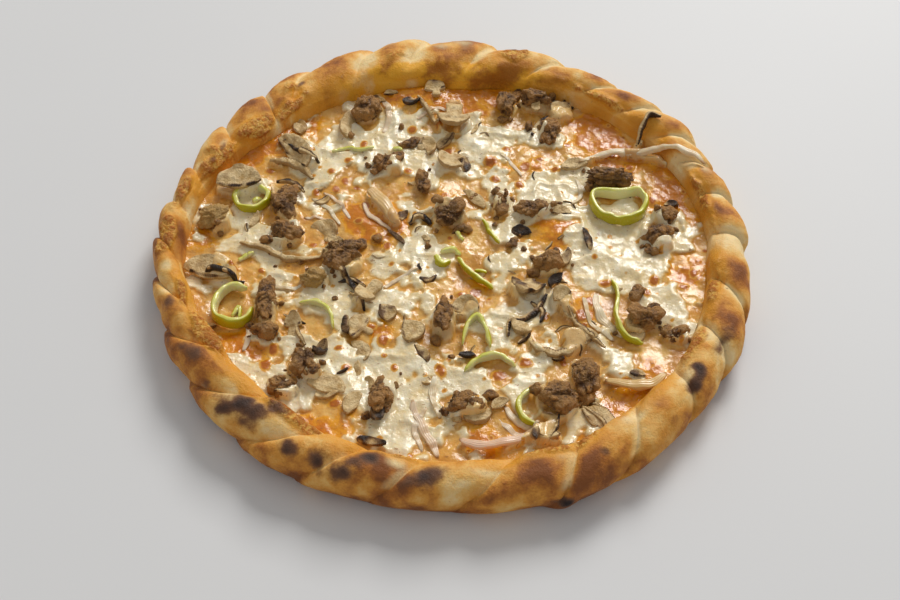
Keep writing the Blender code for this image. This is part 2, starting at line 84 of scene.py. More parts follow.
def place_light():
    """One large soft lamp and an even pale room."""
    light = bpy.data.lights.new("soft_lamp", "AREA")
    light.energy = LAMP_POWER
    light.size = LAMP_SIZE
    light.color = LAMP_COLOUR
    lamp = bpy.data.objects.new("soft_lamp", light)
    away = -np.array(LAMP_AT)
    lamp.matrix_world = Matrix.Translation(LAMP_AT) @ aim(away, (0.0, 0.0, 1.0))
    bpy.context.scene.collection.objects.link(lamp)
    world = bpy.data.worlds.new("room")
    world.use_nodes = True
    background = world.node_tree.nodes["Background"]
    background.inputs["Color"].default_value = (*ROOM_COLOUR, 1.0)
    background.inputs["Strength"].default_value = ROOM_LIGHT
    bpy.context.scene.world = world
    bpy.context.scene.view_settings.view_transform = "Standard"


class Wire:
    """A socket in a material, so that shader sums are written as Python expressions."""

    def __init__(self, tree, socket=None):
        self.tree = tree
        self.socket = socket

    def make(self, kind, settings=None, inputs=None, output=0):
        """Add a node: its settings first, then the values or wires of its sockets."""
        node = self.tree.nodes.new(kind)
        for name, value in (settings or {}).items():
            if name == "stops":
                while len(node.color_ramp.elements) < len(value):
                    node.color_ramp.elements.new(0.5)
                for element, (position, colour) in zip(node.color_ramp.elements, value):
                    element.position = position
                    element.color = (*colour, 1.0)
            else:
                setattr(node, name, value)
        for name, value in (inputs or {}).items():
            if isinstance(value, Wire):
                self.tree.links.new(value.socket, node.inputs[name])
            elif isinstance(value, tuple) and len(value) == 3 and len(node.inputs[name].default_value) == 4:
                node.inputs[name].default_value = (*value, 1.0)
            else:
                node.inputs[name].default_value = value
        return Wire(self.tree, node.outputs[output])

    def maths(self, operation, first, second=0.0, clamp=False):
        """One Math node."""
        settings = {"operation": operation, "use_clamp": clamp}
        return self.make("ShaderNodeMath", settings, {0: first, 1: second})

    def __add__(self, other):
        return self.maths("ADD", self, other)

    def __sub__(self, other):
        return self.maths("SUBTRACT", self, other)

    def __rsub__(self, other):
        return self.maths("SUBTRACT", other, self)

    def __mul__(self, other):
        return self.maths("MULTIPLY", self, other)

    __radd__ = __add__
    __rmul__ = __mul__

    def sine(self):
        """The sine of this wire."""
        return self.maths("SINE", self)

    def step(self, low, high):
        """0 below low, 1 above high and a smooth rise between them."""
        inputs = {"Value": self, "From Min": low, "From Max": high}
        return self.make("ShaderNodeMapRange", {"interpolation_type": "SMOOTHSTEP"}, inputs)

    def swing(self, amount):
        """This wire taken about one half and scaled, for noise that lightens and darkens alike."""
        return (self - 0.5) * amount

    def mix(self, first, second):
        """Blend two colours by this factor."""
        return self.make("ShaderNodeMix", {"data_type": "RGBA"}, {0: self, 6: first, 7: second}, output=2)

    def paint(self, *layers):
        """This colour under tints, each laid on by an amount where its mask rises from low to high."""
        colour = self
        for mask, low, high, amount, tint in layers:
            colour = (mask.step(low, high) * amount).mix(colour, tint)
        return colour

    def speckle(self, per_metre, detail=3.0, roughness=0.55):
        """Noise from 0 to 1 at this place, with a given number of grains to the metre."""
        inputs = {"Vector": self, "Scale": per_metre, "Detail": detail, "Roughness": roughness}
        return self.make("ShaderNodeTexNoise", None, inputs)

    def mask(self, name):
        """The value of a mask on the surface."""
        return self.make("ShaderNodeAttribute", {"attribute_name": name}, output="Fac")

    def bump(self, strength, distance):
        """A surface that rises with this wire."""
        return self.make("ShaderNodeBump", None, {"Strength": strength, "Distance": distance, "Height": self})


def start_material(name):
    """A new material and the wire of the object's coordinates in it."""
    material = bpy.data.materials.new(name)
    material.use_nodes = True
    return material, Wire(material.node_tree).make("ShaderNodeTexCoord", output="Object")


def finish_material(material, wired, fixed):
    """Feed wires into the shader's sockets, and set the values that are the same all over."""
    shader = material.node_tree.nodes["Principled BSDF"]
    for name, wire in wired.items():
        material.node_tree.links.new(wire.socket, shader.inputs[name])
    for name, value in fixed.items():
        shader.inputs[name].default_value = value
    return material


def floor_material():
    """A smooth pale floor with a trace of unevenness."""
    material, where = start_material("pale_floor")
    paler = tuple(1.03 * c for c in FLOOR_COLOUR)
    colour = where.speckle(6.0, 2.0).mix(FLOOR_COLOUR, paler)
    return finish_material(material, {"Base Color": colour}, {"Roughness": 0.6})


def lay_floor():
    """A plain square just below the pizza."""
    half = FLOOR_WIDTH / 2.0
    mesh = bpy.data.meshes.new("floor")
    corners = [(-half, -half, 0.0), (half, -half, 0.0), (half, half, 0.0), (-half, half, 0.0)]
    mesh.from_pydata(corners, [], [(0, 1, 2, 3)])
    mesh.materials.append(floor_material())
    floor = bpy.data.objects.new("floor", mesh)
    bpy.context.scene.collection.objects.link(floor)


place_camera()
place_light()
lay_floor()


# Dough: a thin base and a thick rim of baked bread, whose edge was folded over itself all
# the way round like a rope. It is pale in the creases, golden on the ridges, and charred
# in patches where the oven was hottest.
SHIFT = np.array([0.059, -1.985, 0.0]) * MM     # the layout's middle in the part's frame
RIM_MIDDLE = 0.0115         # height at which the rim is widest
BASE_THICKNESS = 0.0040
LIP_HEIGHT = 0.0112         # height at which the inner wall begins to round over
FOLD_COLUMNS = 30
RIM_ROWS = 96
FOLD_SHARPNESS = 0.62
FOLD_BALANCE = 0.70         # share of a fold that stands proud of the plain rim
FOLD_SPREAD = 6.5           # degrees over which one fold's sizes blend into the next
FLAT_SECTION = 30.0         # section angle at which a fold's start angle holds
LEAN_SPAN = 80.0            # degrees of section over which a crease leans by its row's value
TIP_FADE = 14.0             # half the degrees of section over which a fold's inner end fades
FOOT_SECTION = -50.0        # section angle below which the folds have faded out
SECTION_TOP = 150.0         # section angles where the rim leaves the inner wall
SECTION_END = -55.0         # and where it meets the underside
PINCH_ANGLE = 288.3         # where the end of the dough was pinched shut and juts out
PINCH_WIDTH = 2.6
PINCH_REACH = 3.6
FOLDS = np.array((          # start angle, lean, reach, well, height, depth, inner tip
    (0.5, 1, 156, 134, 24.5, 4.6, 146), (11.5, 1.5, 155, 133, 25, 4.4, 142),
    (20.5, 3, 153.5, 132, 24.5, 4, 138), (28.5, 4, 159.5, 131, 25, 4.6, 136),
    (40, 4, 156.5, 129.5, 25, 4.6, 132), (50.5, 4.5, 153, 129, 25.5, 4.4, 128),
    (64, 5.5, 156.5, 125, 26.5, 4.8, 126), (80.5, 5, 159.5, 119, 27.5, 4.8, 116),
    (95, 5.5, 161, 122, 27.5, 4.8, 116), (108, 6, 160, 125, 26.5, 4, 120),
    (123, 8, 159, 127, 26, 2.2, 126), (134.5, 3, 158, 127, 25, 3.2, 140),
    (146.5, 3.5, 156.5, 134, 24.5, 4, 126), (160, 2.5, 154.5, 138, 24, 3.6, 140),
    (170.5, 1.5, 156, 138.5, 24, 3.2, 146), (179.5, 5, 155.5, 138.5, 24.5, 3.8, 142),
    (191, 8, 154, 134, 24.5, 4, 146), (204.5, 7.5, 154.5, 129.5, 24, 4.2, 146),
    (218.5, 8, 156.5, 129, 24, 4.6, 146), (234, 7, 157.5, 130, 23.5, 4.2, 146),
    (246, 5, 155.5, 131, 23, 3.4, 144), (259, 4, 155, 132, 22.5, 3, 144),
    (274.5, 5, 157, 133, 23, 3.4, 144), (289.5, 4, 159.5, 134, 23.5, 4, 142),
    (303, 4.5, 158, 132, 24, 4, 142), (319, 2, 156, 133, 24, 4.2, 142),
    (331, 3.5, 157, 131.5, 24.5, 4.4, 144), (343.5, 4, 154.5, 131.5, 24.5, 4.6, 146),
))
CHARRED = (                 # angle, section angle, half-length in degrees, half-width, strength
    (228, 74, 5.5, 34, 1.05), (233, 112, 4, 22, 0.85), (240, 64, 3.2, 24, 0.7),
    (249, 66, 4, 32, 1.1), (254, 98, 2.6, 20, 0.75), (264, 76, 4, 30, 0.7),
    (221, 66, 2.6, 24, 0.6), (211, 76, 3.2, 32, 0.55), (197, 70, 3.6, 30, 0.5),
    (289.2, 8, 1.5, 14, 1.3), (299, 84, 1.6, 18, 0.5), (321.5, 76, 1.8, 24, 0.9),
    (332, 62, 4.4, 24, 0.7), (312, 46, 3, 18, 0.4), (77, 66, 2.2, 16, 0.55),
    (93, 40, 0.7, 18, 0.8), (22.5, 60, 0.6, 12, 0.7), (27.5, 54, 0.7, 14, 0.7),
    (172, 96, 1.4, 10, 0.6), (345, 92, 0.7, 8, 0.7), (116, 122, 3, 10, 0.7),
    (128, 96, 1.4, 9, 0.6), (156, 108, 4, 10, 0.62), (183, 96, 1.6, 12, 0.6),
)
BLISTERED = (               # the same, where the oil browned the dough to orange bubbles
    (76, 84, 4, 26, 0.9), (144, 122, 6, 26, 1.1), (130, 92, 2.6, 14, 0.8),
    (168, 92, 6, 26, 1), (181, 84, 4.5, 30, 1.3), (208, 120, 8, 24, 1),
    (134, 128, 6, 20, 0.8), (157, 128, 7, 22, 1), (196, 112, 5, 20, 0.8),
    (236, 132, 9, 22, 1), (290, 130, 9, 20, 0.7), (330, 130, 6, 20, 0.8),
    (346, 130, 5, 20, 0.9), (160, 100, 6, 22, 0.6), (104, 92, 4, 14, 0.4),
    (12, 132, 10, 16, 0.6), (52, 124, 12, 14, 0.5), (262, 134, 8, 16, 0.5),
)
CREAMY = (                  # the same, where the dough stayed pale
    (260, 112, 2.6, 24, 0.8), (276, 104, 4, 24, 0.8), (291, 106, 3.4, 24, 0.7),
    (309, 110, 8, 26, 0.8), (333, 112, 3, 22, 0.8), (246, 124, 4, 16, 0.6),
    (119, 20, 12, 34, 0.8), (136, 24, 8, 30, 0.6), (152, 108, 3, 14, 0.6),
    (66, 62, 3, 26, 0.7), (90, 66, 6, 26, 0.6), (104, 50, 6, 26, 0.5),
    (20, 84, 7, 24, 0.5), (40, 70, 6, 24, 0.5), (354, 84, 6, 24, 0.4),
)
PUFFS = (                   # the same with the height in mm: large bubbles up the inner wall
    (81, 122, 4.6, 20, 4.4), (91, 112, 2.6, 16, 1.6), (100.5, 124, 4.2, 18, 4.2),
    (111, 118, 3.6, 16, 2.8), (67, 118, 4, 16, 2.4), (54, 114, 3.5, 16, 1.8),
    (145, 118, 5, 20, 1.6), (160, 122, 4, 18, 1.2), (188, 118, 4, 18, 1.2),
    (208, 122, 5, 16, 1.4), (232, 124, 5, 16, 1.4), (256, 122, 4, 16, 1),
    (283, 120, 5, 16, 1.2), (312, 120, 4, 16, 1.2), (335, 122, 5, 18, 1.4),
    (8, 120, 4, 18, 1.4), (27, 118, 4, 18, 1.2),
)
BROWNEST_AND_SHADED_SIDE = 245.0         # angle of the side that browned most, which also lies in shade: its extra brown is partly painted shade
PALEST_AND_LIT_SIDE = 25.0            # and of the one that browned least, which is also lit most: its lighter colour is partly painted light
SHADED_AND_LIT_STRETCHES = ((315.0, 0.20), (5.0, -0.13))     # angle and added brown of two shorter stretches: painted shade on the near right, painted light on the right
FAR_WALL = 91.0             # angle of the inner wall that sauce and oil stained
PUFF_KEPT_LOW = 0.6         # share of a bubble's lift that is left out of the rim's height


def lattice_number(order, at):
    """A shuffled number from 0 to 255 for each corner of a lattice."""
    return order[(order[(order[at[..., 0] & 255] + at[..., 1]) & 255] + at[..., 2]) & 255]


def soft_noise(points, grain, seed):
    """Smooth noise from -1 to 1 with lumps of about the grain's size.

    A random value stands at each corner of a lattice. Inside a cell the eight corners are
    blended by the ease 6t^5 - 15t^4 + 10t^3 of the place between them.
    """
    draw = np.random.default_rng(seed)
    order, values = draw.permutation(256), draw.uniform(-1.0, 1.0, 256)
    cell = np.floor(points / grain).astype(int)
    part = points / grain - cell
    ease = part ** 3 * (part * (part * 6.0 - 15.0) + 10.0)
    total = np.zeros(points.shape[:-1])
    for corner in itertools.product((0, 1), repeat=3):
        value = values[lattice_number(order, cell + np.array(corner))]
        total += value * np.prod(np.where(corner, ease, 1.0 - ease), axis=-1)
    return total


def layered_noise(points, grain, layers, seed):
    """Noise with finer and weaker noise added, each layer half as large as the last."""
    return sum(soft_noise(points, grain / 2.0 ** i, seed + i) / 2.0 ** i for i in range(layers))


def nugget_noise(points, grain, seed):
    """Distance to the nearest of scattered points, one in each lattice cell, in grains."""
    draw = np.random.default_rng(seed)
    order, offsets = draw.permutation(256), draw.uniform(0.1, 0.9, (256, 3))
    cell = np.floor(points / grain).astype(int)
    nearest = np.full(points.shape[:-1], 9.0)
    for neighbour in itertools.product((-1, 0, 1), repeat=3):
        at = cell + np.array(neighbour)
        away = np.linalg.norm(at + offsets[lattice_number(order, at)] - points / grain, axis=-1)
        nearest = np.minimum(nearest, away)
    return nearest


def smooth(values, low, high):
    """0 below low, 1 above high, with the ease 3t^2 - 2t^3 between them."""
    share = np.clip((values - low) / (high - low), 0.0, 1.0)
    return share * share * (3.0 - 2.0 * share)


def grid_faces(rows, columns, wrap):
    """Quads of a grid whose points are stored row by row, closed across the columns if wrap."""
    across = columns if wrap else columns - 1
    row, column = np.meshgrid(np.arange(rows - 1), np.arange(across), indexing="ij")
    following = (column + 1) % columns
    a = row * columns + column
    b = row * columns + following
    return np.stack([a, b, b + columns, a + columns], axis=-1).reshape(-1, 4)


def capped_faces(rows, columns):
    """Quads of a grid closed across its columns, and two fans to the points stored after it."""
    start = np.arange(columns)
    following = (start + 1) % columns
    end = (rows - 1) * columns
    first_fan = np.stack([np.full(columns, rows * columns), following, start], -1)
    last_fan = np.stack([np.full(columns, rows * columns + 1), end + start, end + following], -1)
    return grid_faces(rows, columns, True).tolist() + first_fan.tolist() + last_fan.tolist()


def add_piece(name, material, points, faces, masks):
    """Make one smooth object at the origin from points and faces, with masks as attributes."""
    mesh = bpy.data.meshes.new(name)
    mesh.from_pydata(points.tolist(), [], faces)
    for mask, values in masks.items():
        mesh.attributes.new(mask, "FLOAT", "POINT").data.foreach_set("value", values.astype(np.float32))
    mesh.materials.append(material)
    mesh.shade_smooth()
    piece = bpy.data.objects.new(name, mesh)
    bpy.context.scene.collection.objects.link(piece)
    return piece


def from_side(angle, centre):
    """The turn from a centre to an angle, from -180 to 180 degrees."""
    return (angle - centre + 180.0) % 360.0 - 180.0


def polar(radius, angle, height):
    """Points at a radius, an angle in degrees and a height."""
    turn = np.radians(angle)
    return np.stack([radius * np.cos(turn), radius * np.sin(turn), height], -1)


def blend_folds(angle, column):
    """One column of the fold list, blended by bell curves about the middles of the folds."""
    starts = FOLDS[:, 0]
    middles = starts + (np.roll(starts, -1) - starts) % 360.0 / 2.0
    weight = np.exp(-(from_side(angle[..., None], middles) / FOLD_SPREAD) ** 2)
    return (weight * FOLDS[:, column]).sum(-1) / weight.sum(-1)


def patches_on_rim(angle, section, rows):
    """The strongest of some spots: strength times e to the minus squared distance from each."""
    value = np.zeros(np.broadcast(angle, section).shape)
    for centre, height_on, half_length, half_width_on, strength in rows:
        away = from_side(angle, centre) / half_length
        above = (section - height_on) / half_width_on
        value = np.maximum(value, strength * np.exp(-away ** 2 - above ** 2))
    return value


def rim_surface():
    """Points of base and rim on a grid of section rows and fold columns, and their masks.

    A plain section runs from the base up the wall, over the rim and under it. Each column
    of it stands at a share across one fold; creases lean with the section angle, and the
    fold's lobe, a sine of the share raised to a power, pushes the section out. The lobe
    fades at the fold's inner tip and under the rim.
    """
    number = np.arange(len(FOLDS) * FOLD_COLUMNS) / FOLD_COLUMNS
    index = number.astype(int)
    share = number - index
    share = share - 0.10 * np.sin(2.0 * math.pi * share) / math.pi
    wall = np.array([BASE_THICKNESS, 0.5 * LIP_HEIGHT + 0.5 * BASE_THICKNESS])
    angles = np.linspace(SECTION_TOP, SECTION_END, RIM_ROWS)
    section = np.append([155.0, 155.0], angles)[:, None]
    on_wall = np.arange(len(section))[:, None] < 2
    lean = (section - FLAT_SECTION) / LEAN_SPAN
    here, following = FOLDS[index], FOLDS[(index + 1) % len(FOLDS)]
    start = here[:, 0] + here[:, 1] * lean
    width = (following[:, 0] + following[:, 1] * lean - start) % 360.0
    angle = start + share * width
    skew = 0.5 + 0.4 * np.clip((section - 40.0) / 90.0, 0.0, 1.0)
    lobe = np.clip(np.sin(math.pi * share ** skew), 0.0, 1.0) ** FOLD_SHARPNESS
    depth = blend_folds(angle, 5) * 0.35 + here[:, 5] * 0.65
    proud = (1.0 - FOLD_BALANCE) * blend_folds(angle, 5) * MM
    inner = blend_folds(angle, 3) * MM
    outer = blend_folds(angle, 2) * MM - proud
    tall = blend_folds(angle, 4) * MM - proud
    turn = np.radians(section)
    rise = np.where(section > 0.0, tall - RIM_MIDDLE, RIM_MIDDLE / math.sin(math.radians(-SECTION_END)))
    radius = np.where(on_wall, inner, (inner + outer) / 2.0 + (outer - inner) / 2.0 * np.cos(turn))
    height = np.where(on_wall, np.append(wall, angles)[:, None], RIM_MIDDLE + rise * np.sin(turn))
    foot = np.clip((section - FOOT_SECTION) / -FOOT_SECTION, 0.0, 1.0)
    fade = np.clip((blend_folds(angle, 6) + TIP_FADE - section) / (2.0 * TIP_FADE), 0.0, 1.0) * foot
    free = np.where(on_wall, 0.0, np.clip((156.0 - section) / 12.0, 0.0, 1.0)) * foot
    flat = polar(radius, angle, height)
    uneven = soft_noise(flat, 0.019, 11) + 0.8 * soft_noise(flat, 0.009, 12)
    uneven = uneven + 0.40 * layered_noise(flat, 0.004, 2, 13)
    bubbly = patches_on_rim(angle, section, BLISTERED)
    cells = smooth(0.85 - nugget_noise(flat, 0.0055, 15), 0.0, 0.55)
    cells = np.maximum(cells, 0.6 * smooth(0.75 - nugget_noise(flat, 0.0029, 16), 0.0, 0.5))
    fried = smooth(bubbly + 0.30 * soft_noise(flat, 0.006, 17), 0.20, 0.65)
    blisters = cells * fried
    puffs = patches_on_rim(angle + 3.0 * soft_noise(flat, 0.012, 18), section, PUFFS)
    bulge = depth * (lobe - FOLD_BALANCE) * fade + (uneven * 0.65 + blisters * 1.3 + puffs) * free
    pinch = PINCH_REACH * MM * np.exp(-(from_side(angle, PINCH_ANGLE) / PINCH_WIDTH) ** 2)
    outwards = np.where(on_wall, 0.0, np.cos(turn))
    radius = radius + bulge * MM * outwards + pinch * np.maximum(outwards, 0.0)
    raised = (bulge - PUFF_KEPT_LOW * puffs * free) * np.maximum(np.sin(turn), 0.0)
    points = polar(radius, angle, height + np.where(on_wall, 0.0, raised * MM))

    spread = layered_noise(flat, 0.024, 3, 21)
    streak = layered_noise(flat, 0.008, 2, 22)
    # near is highest on the near left side, where the added brown is partly baking and partly painted shade;
    # right is highest on the right side, which it lightens as painted light while it strengthens the brown
    # ridges and pale creases there.
    near = 0.5 + 0.5 * np.cos(np.radians(angle - BROWNEST_AND_SHADED_SIDE))
    right = 0.5 + 0.5 * np.cos(np.radians(angle - PALEST_AND_LIT_SIDE))
    own_tone = np.random.default_rng(9).uniform(-0.08, 0.08, len(FOLDS))[index]
    ridge = (lobe - 0.72) / 0.28 * smooth(section, 5.0, 50.0) * (0.35 + 0.65 * right)
    brown = 0.37 + 0.14 * near - 0.12 * right + 0.24 * ridge + 0.42 * spread + 0.22 * streak + own_tone
    for centre, amount in SHADED_AND_LIT_STRETCHES:
        brown = brown + amount * np.exp(-(from_side(angle, centre) / 28.0) ** 2)
    # Browner down the outer face and underside, where it baked darker, and more so on the near side as
    # painted shade.
    brown = brown + 0.30 * smooth(-section, -30.0, 40.0) * (0.4 + 0.6 * near)
    brown = brown + 0.25 * np.exp(-((puffs - 0.9) / 0.5) ** 2) * smooth(section, 90.0, 110.0)
    pale = (smooth(share, 0.70, 0.97) + smooth(0.05 - share, 0.0, 0.05)) * smooth(section, 15.0, 45.0)
    pale = pale * (0.35 + 0.65 * right) * (0.8 + 0.5 * spread) * smooth(-section, -125.0, -100.0)
    pale = np.maximum(pale, patches_on_rim(angle, section, CREAMY) * (0.9 + 0.4 * streak))
    drift = 5.0 * soft_noise(flat, 0.014, 23)
    char = patches_on_rim(angle + 0.5 * drift, section + 3.0 * drift, CHARRED) * (0.55 + 0.5 * lobe ** 2)
    char = char * (1.0 + 0.7 * streak)
    oily = smooth(section, 84.0, 116.0) * (0.65 + 0.6 * soft_noise(flat, 0.02, 31)) + 0.9 * bubbly
    ochre = np.exp(-(from_side(angle, FAR_WALL) / 34.0) ** 4)
    ochre = ochre * smooth(section, 100.0, 122.0) * (0.85 + 0.5 * streak)
    return points, {"brown": brown, "pale": np.clip(pale, 0.0, 1.0), "char": char, "ochre": ochre,
                    "oily": np.clip(oily, 0.0, 1.0), "blister": blisters, "fried": fried}


def dough_material():
    """Baked bread: cream, gold and brown by how far it baked and by painted shade and light on its sides,
    with fine pores and freckles.
    """
    material, where = start_material("baked_dough")
    fine = where.speckle(900.0, 4.0, 0.6)
    patches = where.speckle(130.0, 4.0, 0.6)
    bubbles = where.speckle(620.0, 3.0, 0.65)
    brown = where.mask("brown") + patches.swing(0.9) + fine.swing(0.3)
    pale = where.mask("pale") + patches.swing(0.5)
    oily = where.mask("oily") + patches.swing(0.8) + fine.swing(0.3)
    ochre = where.mask("ochre") + patches.swing(0.7)
    fried = where.mask("fried")
    blister = where.mask("blister") + bubbles.swing(0.9)
    char = where.mask("char") + patches.swing(0.5) + fine.swing(0.18)
    baked = where.make("ShaderNodeValToRGB", {"stops": (
        (0.0, (0.88, 0.65, 0.32)), (0.28, (0.83, 0.49, 0.145)), (0.55, (0.70, 0.31, 0.050)),
        (0.80, (0.44, 0.155, 0.026)), (1.0, (0.25, 0.082, 0.020)),
    )}, {"Fac": brown})
    glazed = brown.step(0.35, 0.90).mix((0.86, 0.41, 0.022), (0.40, 0.135, 0.008))
    crisp = bubbles.step(0.36, 0.64).mix((0.86, 0.52, 0.12), (0.56, 0.175, 0.010))
    colour = baked.paint(
        (pale, 0.25, 0.95, 0.85, (0.91, 0.71, 0.37)),
        (oily, 0.30, 0.85, 0.75, (0.78, 0.34, 0.028)),
        (ochre, 0.2, 0.8, 0.92, glazed),
        (where.speckle(420.0, 2.0), 0.66, 0.74, 0.28, (0.30, 0.12, 0.04)),
        (fried, 0.25, 0.9, 0.8, crisp),
        (blister, 0.35, 1.0, 0.65, (0.38, 0.10, 0.010)),
        (char, 0.18, 0.62, 1.0, (0.17, 0.075, 0.035)),
        (char, 0.50, 0.90, 1.0, (0.070, 0.036, 0.024)),
        (char, 0.80, 1.20, 1.0, (0.026, 0.015, 0.012)),
    )
    pores = where.speckle(1500.0, 3.0, 0.7)
    relief = fine * 0.8 + pores * 0.5 + patches * 1.8 + fried * bubbles * 4.0
    return finish_material(material, {
        "Base Color": colour, "Roughness": 0.58 - oily.step(0.4, 0.9) * 0.22 + fine.swing(0.3),
        "Normal": relief.bump(0.6, 0.0009),
    }, {
        "Specular IOR Level": 0.22, "Subsurface Weight": 0.08, "Subsurface Scale": 0.004,
        "Subsurface Radius": (1.0, 0.5, 0.25),
    })


def bake_dough():
    """The crust as one closed skin, with a flat fan for the floor of the well and the underside."""
    points, masks = rim_surface()
    rows, columns = points.shape[:2]
    points = points[:, ::-1].reshape(-1, 3) + SHIFT
    points = np.concatenate([points, [[0.0, 0.0, BASE_THICKNESS], [0.0, 0.0, 0.0]]])
    masks = {name: np.append(values[:, ::-1].ravel(), [0.0, 0.0]) for name, values in masks.items()}
    crust = add_piece("crust", dough_material(), points, capped_faces(rows, columns), masks)
    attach(crust, "root")
    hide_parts("dough")


bake_dough()


# Cheese: grated cheese melted over a thin layer of sauce. It is cream white where it lies
# thick, orange where oil and sauce come through, and has small blisters that browned.
CHEESE_TOP = 0.0096
CHEESE_GRID = 312           # points along each side of its sheet
RIPPLE = 0.0006             # height of the soft waves, and the lengths that set their spacing
RIPPLE_X = 0.0083
RIPPLE_Y = 0.0097
RELIEF_STEP = 0.0007        # squares on which the toppings' tops are noted
RELIEF_GRID = 420
FILM = 0.0005               # least thickness of cheese that ran over a topping
CLIMB = 0.0042              # how far up a topping the cheese reaches on average
EDGE_CLIMB = 0.0014         # how far it climbs at the crust, and its greatest height there
EDGE_TOP = 0.0150
INTO_WALL = 0.0008          # how far its edge runs into the crust
SWELLS = (                  # x, y, radius, height
    (-10, 117, 20, 4.5), (22, 112, 16, 3.5), (-32, 121, 14, 3.0), (56, 12, 15, 3.6),
    (43, 65, 14, 1.8), (85, 78, 18, 1.6), (-106, 78, 19, 2.6), (-45, 20, 18, 1.6),
    (-3, 36, 14, 1.4), (67, -40, 12, 1.8), (13, -25, 15, -1.2), (-35, -52, 15, 1.4),
    (20, -114, 16, 1.2), (-55, -112, 14, 1.6), (-100, -68, 16, 1.0), (118, 45, 16, 2.2),
    (112, -22, 16, 1.2), (92, -80, 16, 1.0), (-30, 100, 14, 1.6), (26, 92, 16, 1.0),
    (-60, 60, 16, 1.0), (-20, -30, 16, 1.0), (20, -90, 14, 0.8), (-50, -88, 14, 1.2),
)
ORANGE = (                  # x, y, radius, strength: where sauce and oil show
    (-106, 80, 20, 1.0), (-118, 62, 12, 0.8), (-45, 25, 13, 0.8), (-32, 12, 13, 0.9), (-50, 12, 12, 0.8),
    (-10, 122, 24, 1.0), (20, 116, 20, 1.1), (-34, 124, 14, 0.8), (56, 12, 14, 1.2), (43, 62, 11, 0.8),
    (86, 82, 18, 1.0), (76, 92, 14, 0.8), (92, 66, 14, 0.8), (115, 40, 15, 0.9), (126, 55, 16, 1.0),
    (13, -26, 13, 1.1), (67, -40, 11, 1.1), (118, -22, 14, 0.8), (122, -8, 10, 0.7), (20, -118, 16, 1.1),
    (82, -98, 16, 1.0), (100, -76, 13, 0.8), (-35, -54, 12, 0.9), (-108, -64, 16, 0.9), (-96, -72, 10, 0.6),
    (-55, -114, 13, 0.9), (-68, -104, 10, 0.5), (-3, 38, 9, 0.7), (24, 60, 10, 0.6), (-20, 40, 9, 0.4),
    (-62, 44, 12, 0.6), (-112, -18, 16, 0.6), (-128, 40, 12, 0.6), (-134, 5, 12, 0.7), (44, -22, 10, 0.4),
    (100, -10, 14, 0.3), (72, -64, 12, 0.4), (50, -84, 10, 0.4), (-72, -52, 12, 0.5), (-18, -18, 12, 0.3),
    (-70, 96, 14, 0.5), (-92, 98, 12, 0.7), (52, 48, 14, 0.4), (130, 20, 10, 0.6), (8, 8, 12, 0.5),
    (60, -118, 12, 0.8), (-84, -60, 10, 0.4), (36, 96, 12, 0.4), (-22, 62, 10, 0.3), (24, -66, 10, 0.3),
)
WHITE = (                   # x, y, radius, strength: where the cheese lies thick
    (-30, 92, 13, 1.0), (-38, 78, 11, 0.8), (28, 88, 14, 1.0), (14, 76, 12, 1.0), (-62, 84, 11, 0.8),
    (-12, 58, 10, 0.8), (-70, 58, 12, 0.9), (-76, 38, 10, 0.9), (-56, 36, 9, 0.6), (40, 44, 14, 1.0),
    (60, 34, 12, 1.0), (66, 52, 10, 0.9), (12, 50, 10, 0.6), (82, 8, 14, 1.0), (102, -6, 14, 1.0),
    (90, -14, 12, 0.9), (118, 12, 9, 0.7), (-118, 34, 12, 0.8), (-112, 22, 9, 0.7), (-16, 6, 14, 1.0),
    (-30, -14, 14, 1.0), (-10, -14, 10, 0.8), (-52, -38, 12, 0.9), (-88, -10, 10, 0.7), (-76, -62, 10, 0.9),
    (-100, -78, 14, 1.0), (-60, -66, 14, 1.1), (-46, -80, 14, 1.1), (-24, -72, 12, 1.0), (-16, -92, 14, 1.1),
    (-24, -108, 14, 1.1), (-36, -116, 10, 0.8), (4, -86, 10, 0.9), (28, -92, 9, 0.9), (36, -84, 9, 0.8),
    (38, -72, 8, 0.7), (26, -50, 9, 0.8), (36, -42, 8, 0.6), (20, -10, 10, 0.8), (46, -32, 8, 0.8),
    (66, -12, 14, 0.9), (70, -24, 8, 0.7), (104, -36, 11, 1.0), (112, -44, 10, 1.0), (82, -72, 12, 1.0),
    (74, -58, 9, 0.7), (58, -110, 10, 0.9), (84, 30, 9, 0.6), (-92, -28, 8, 0.6), (-58, 66, 10, 0.7),
    (-104, 8, 9, 0.6), (0, -118, 9, 0.6), (-70, -94, 9, 0.8), (-42, 60, 8, 0.6), (46, 84, 9, 0.7),
)
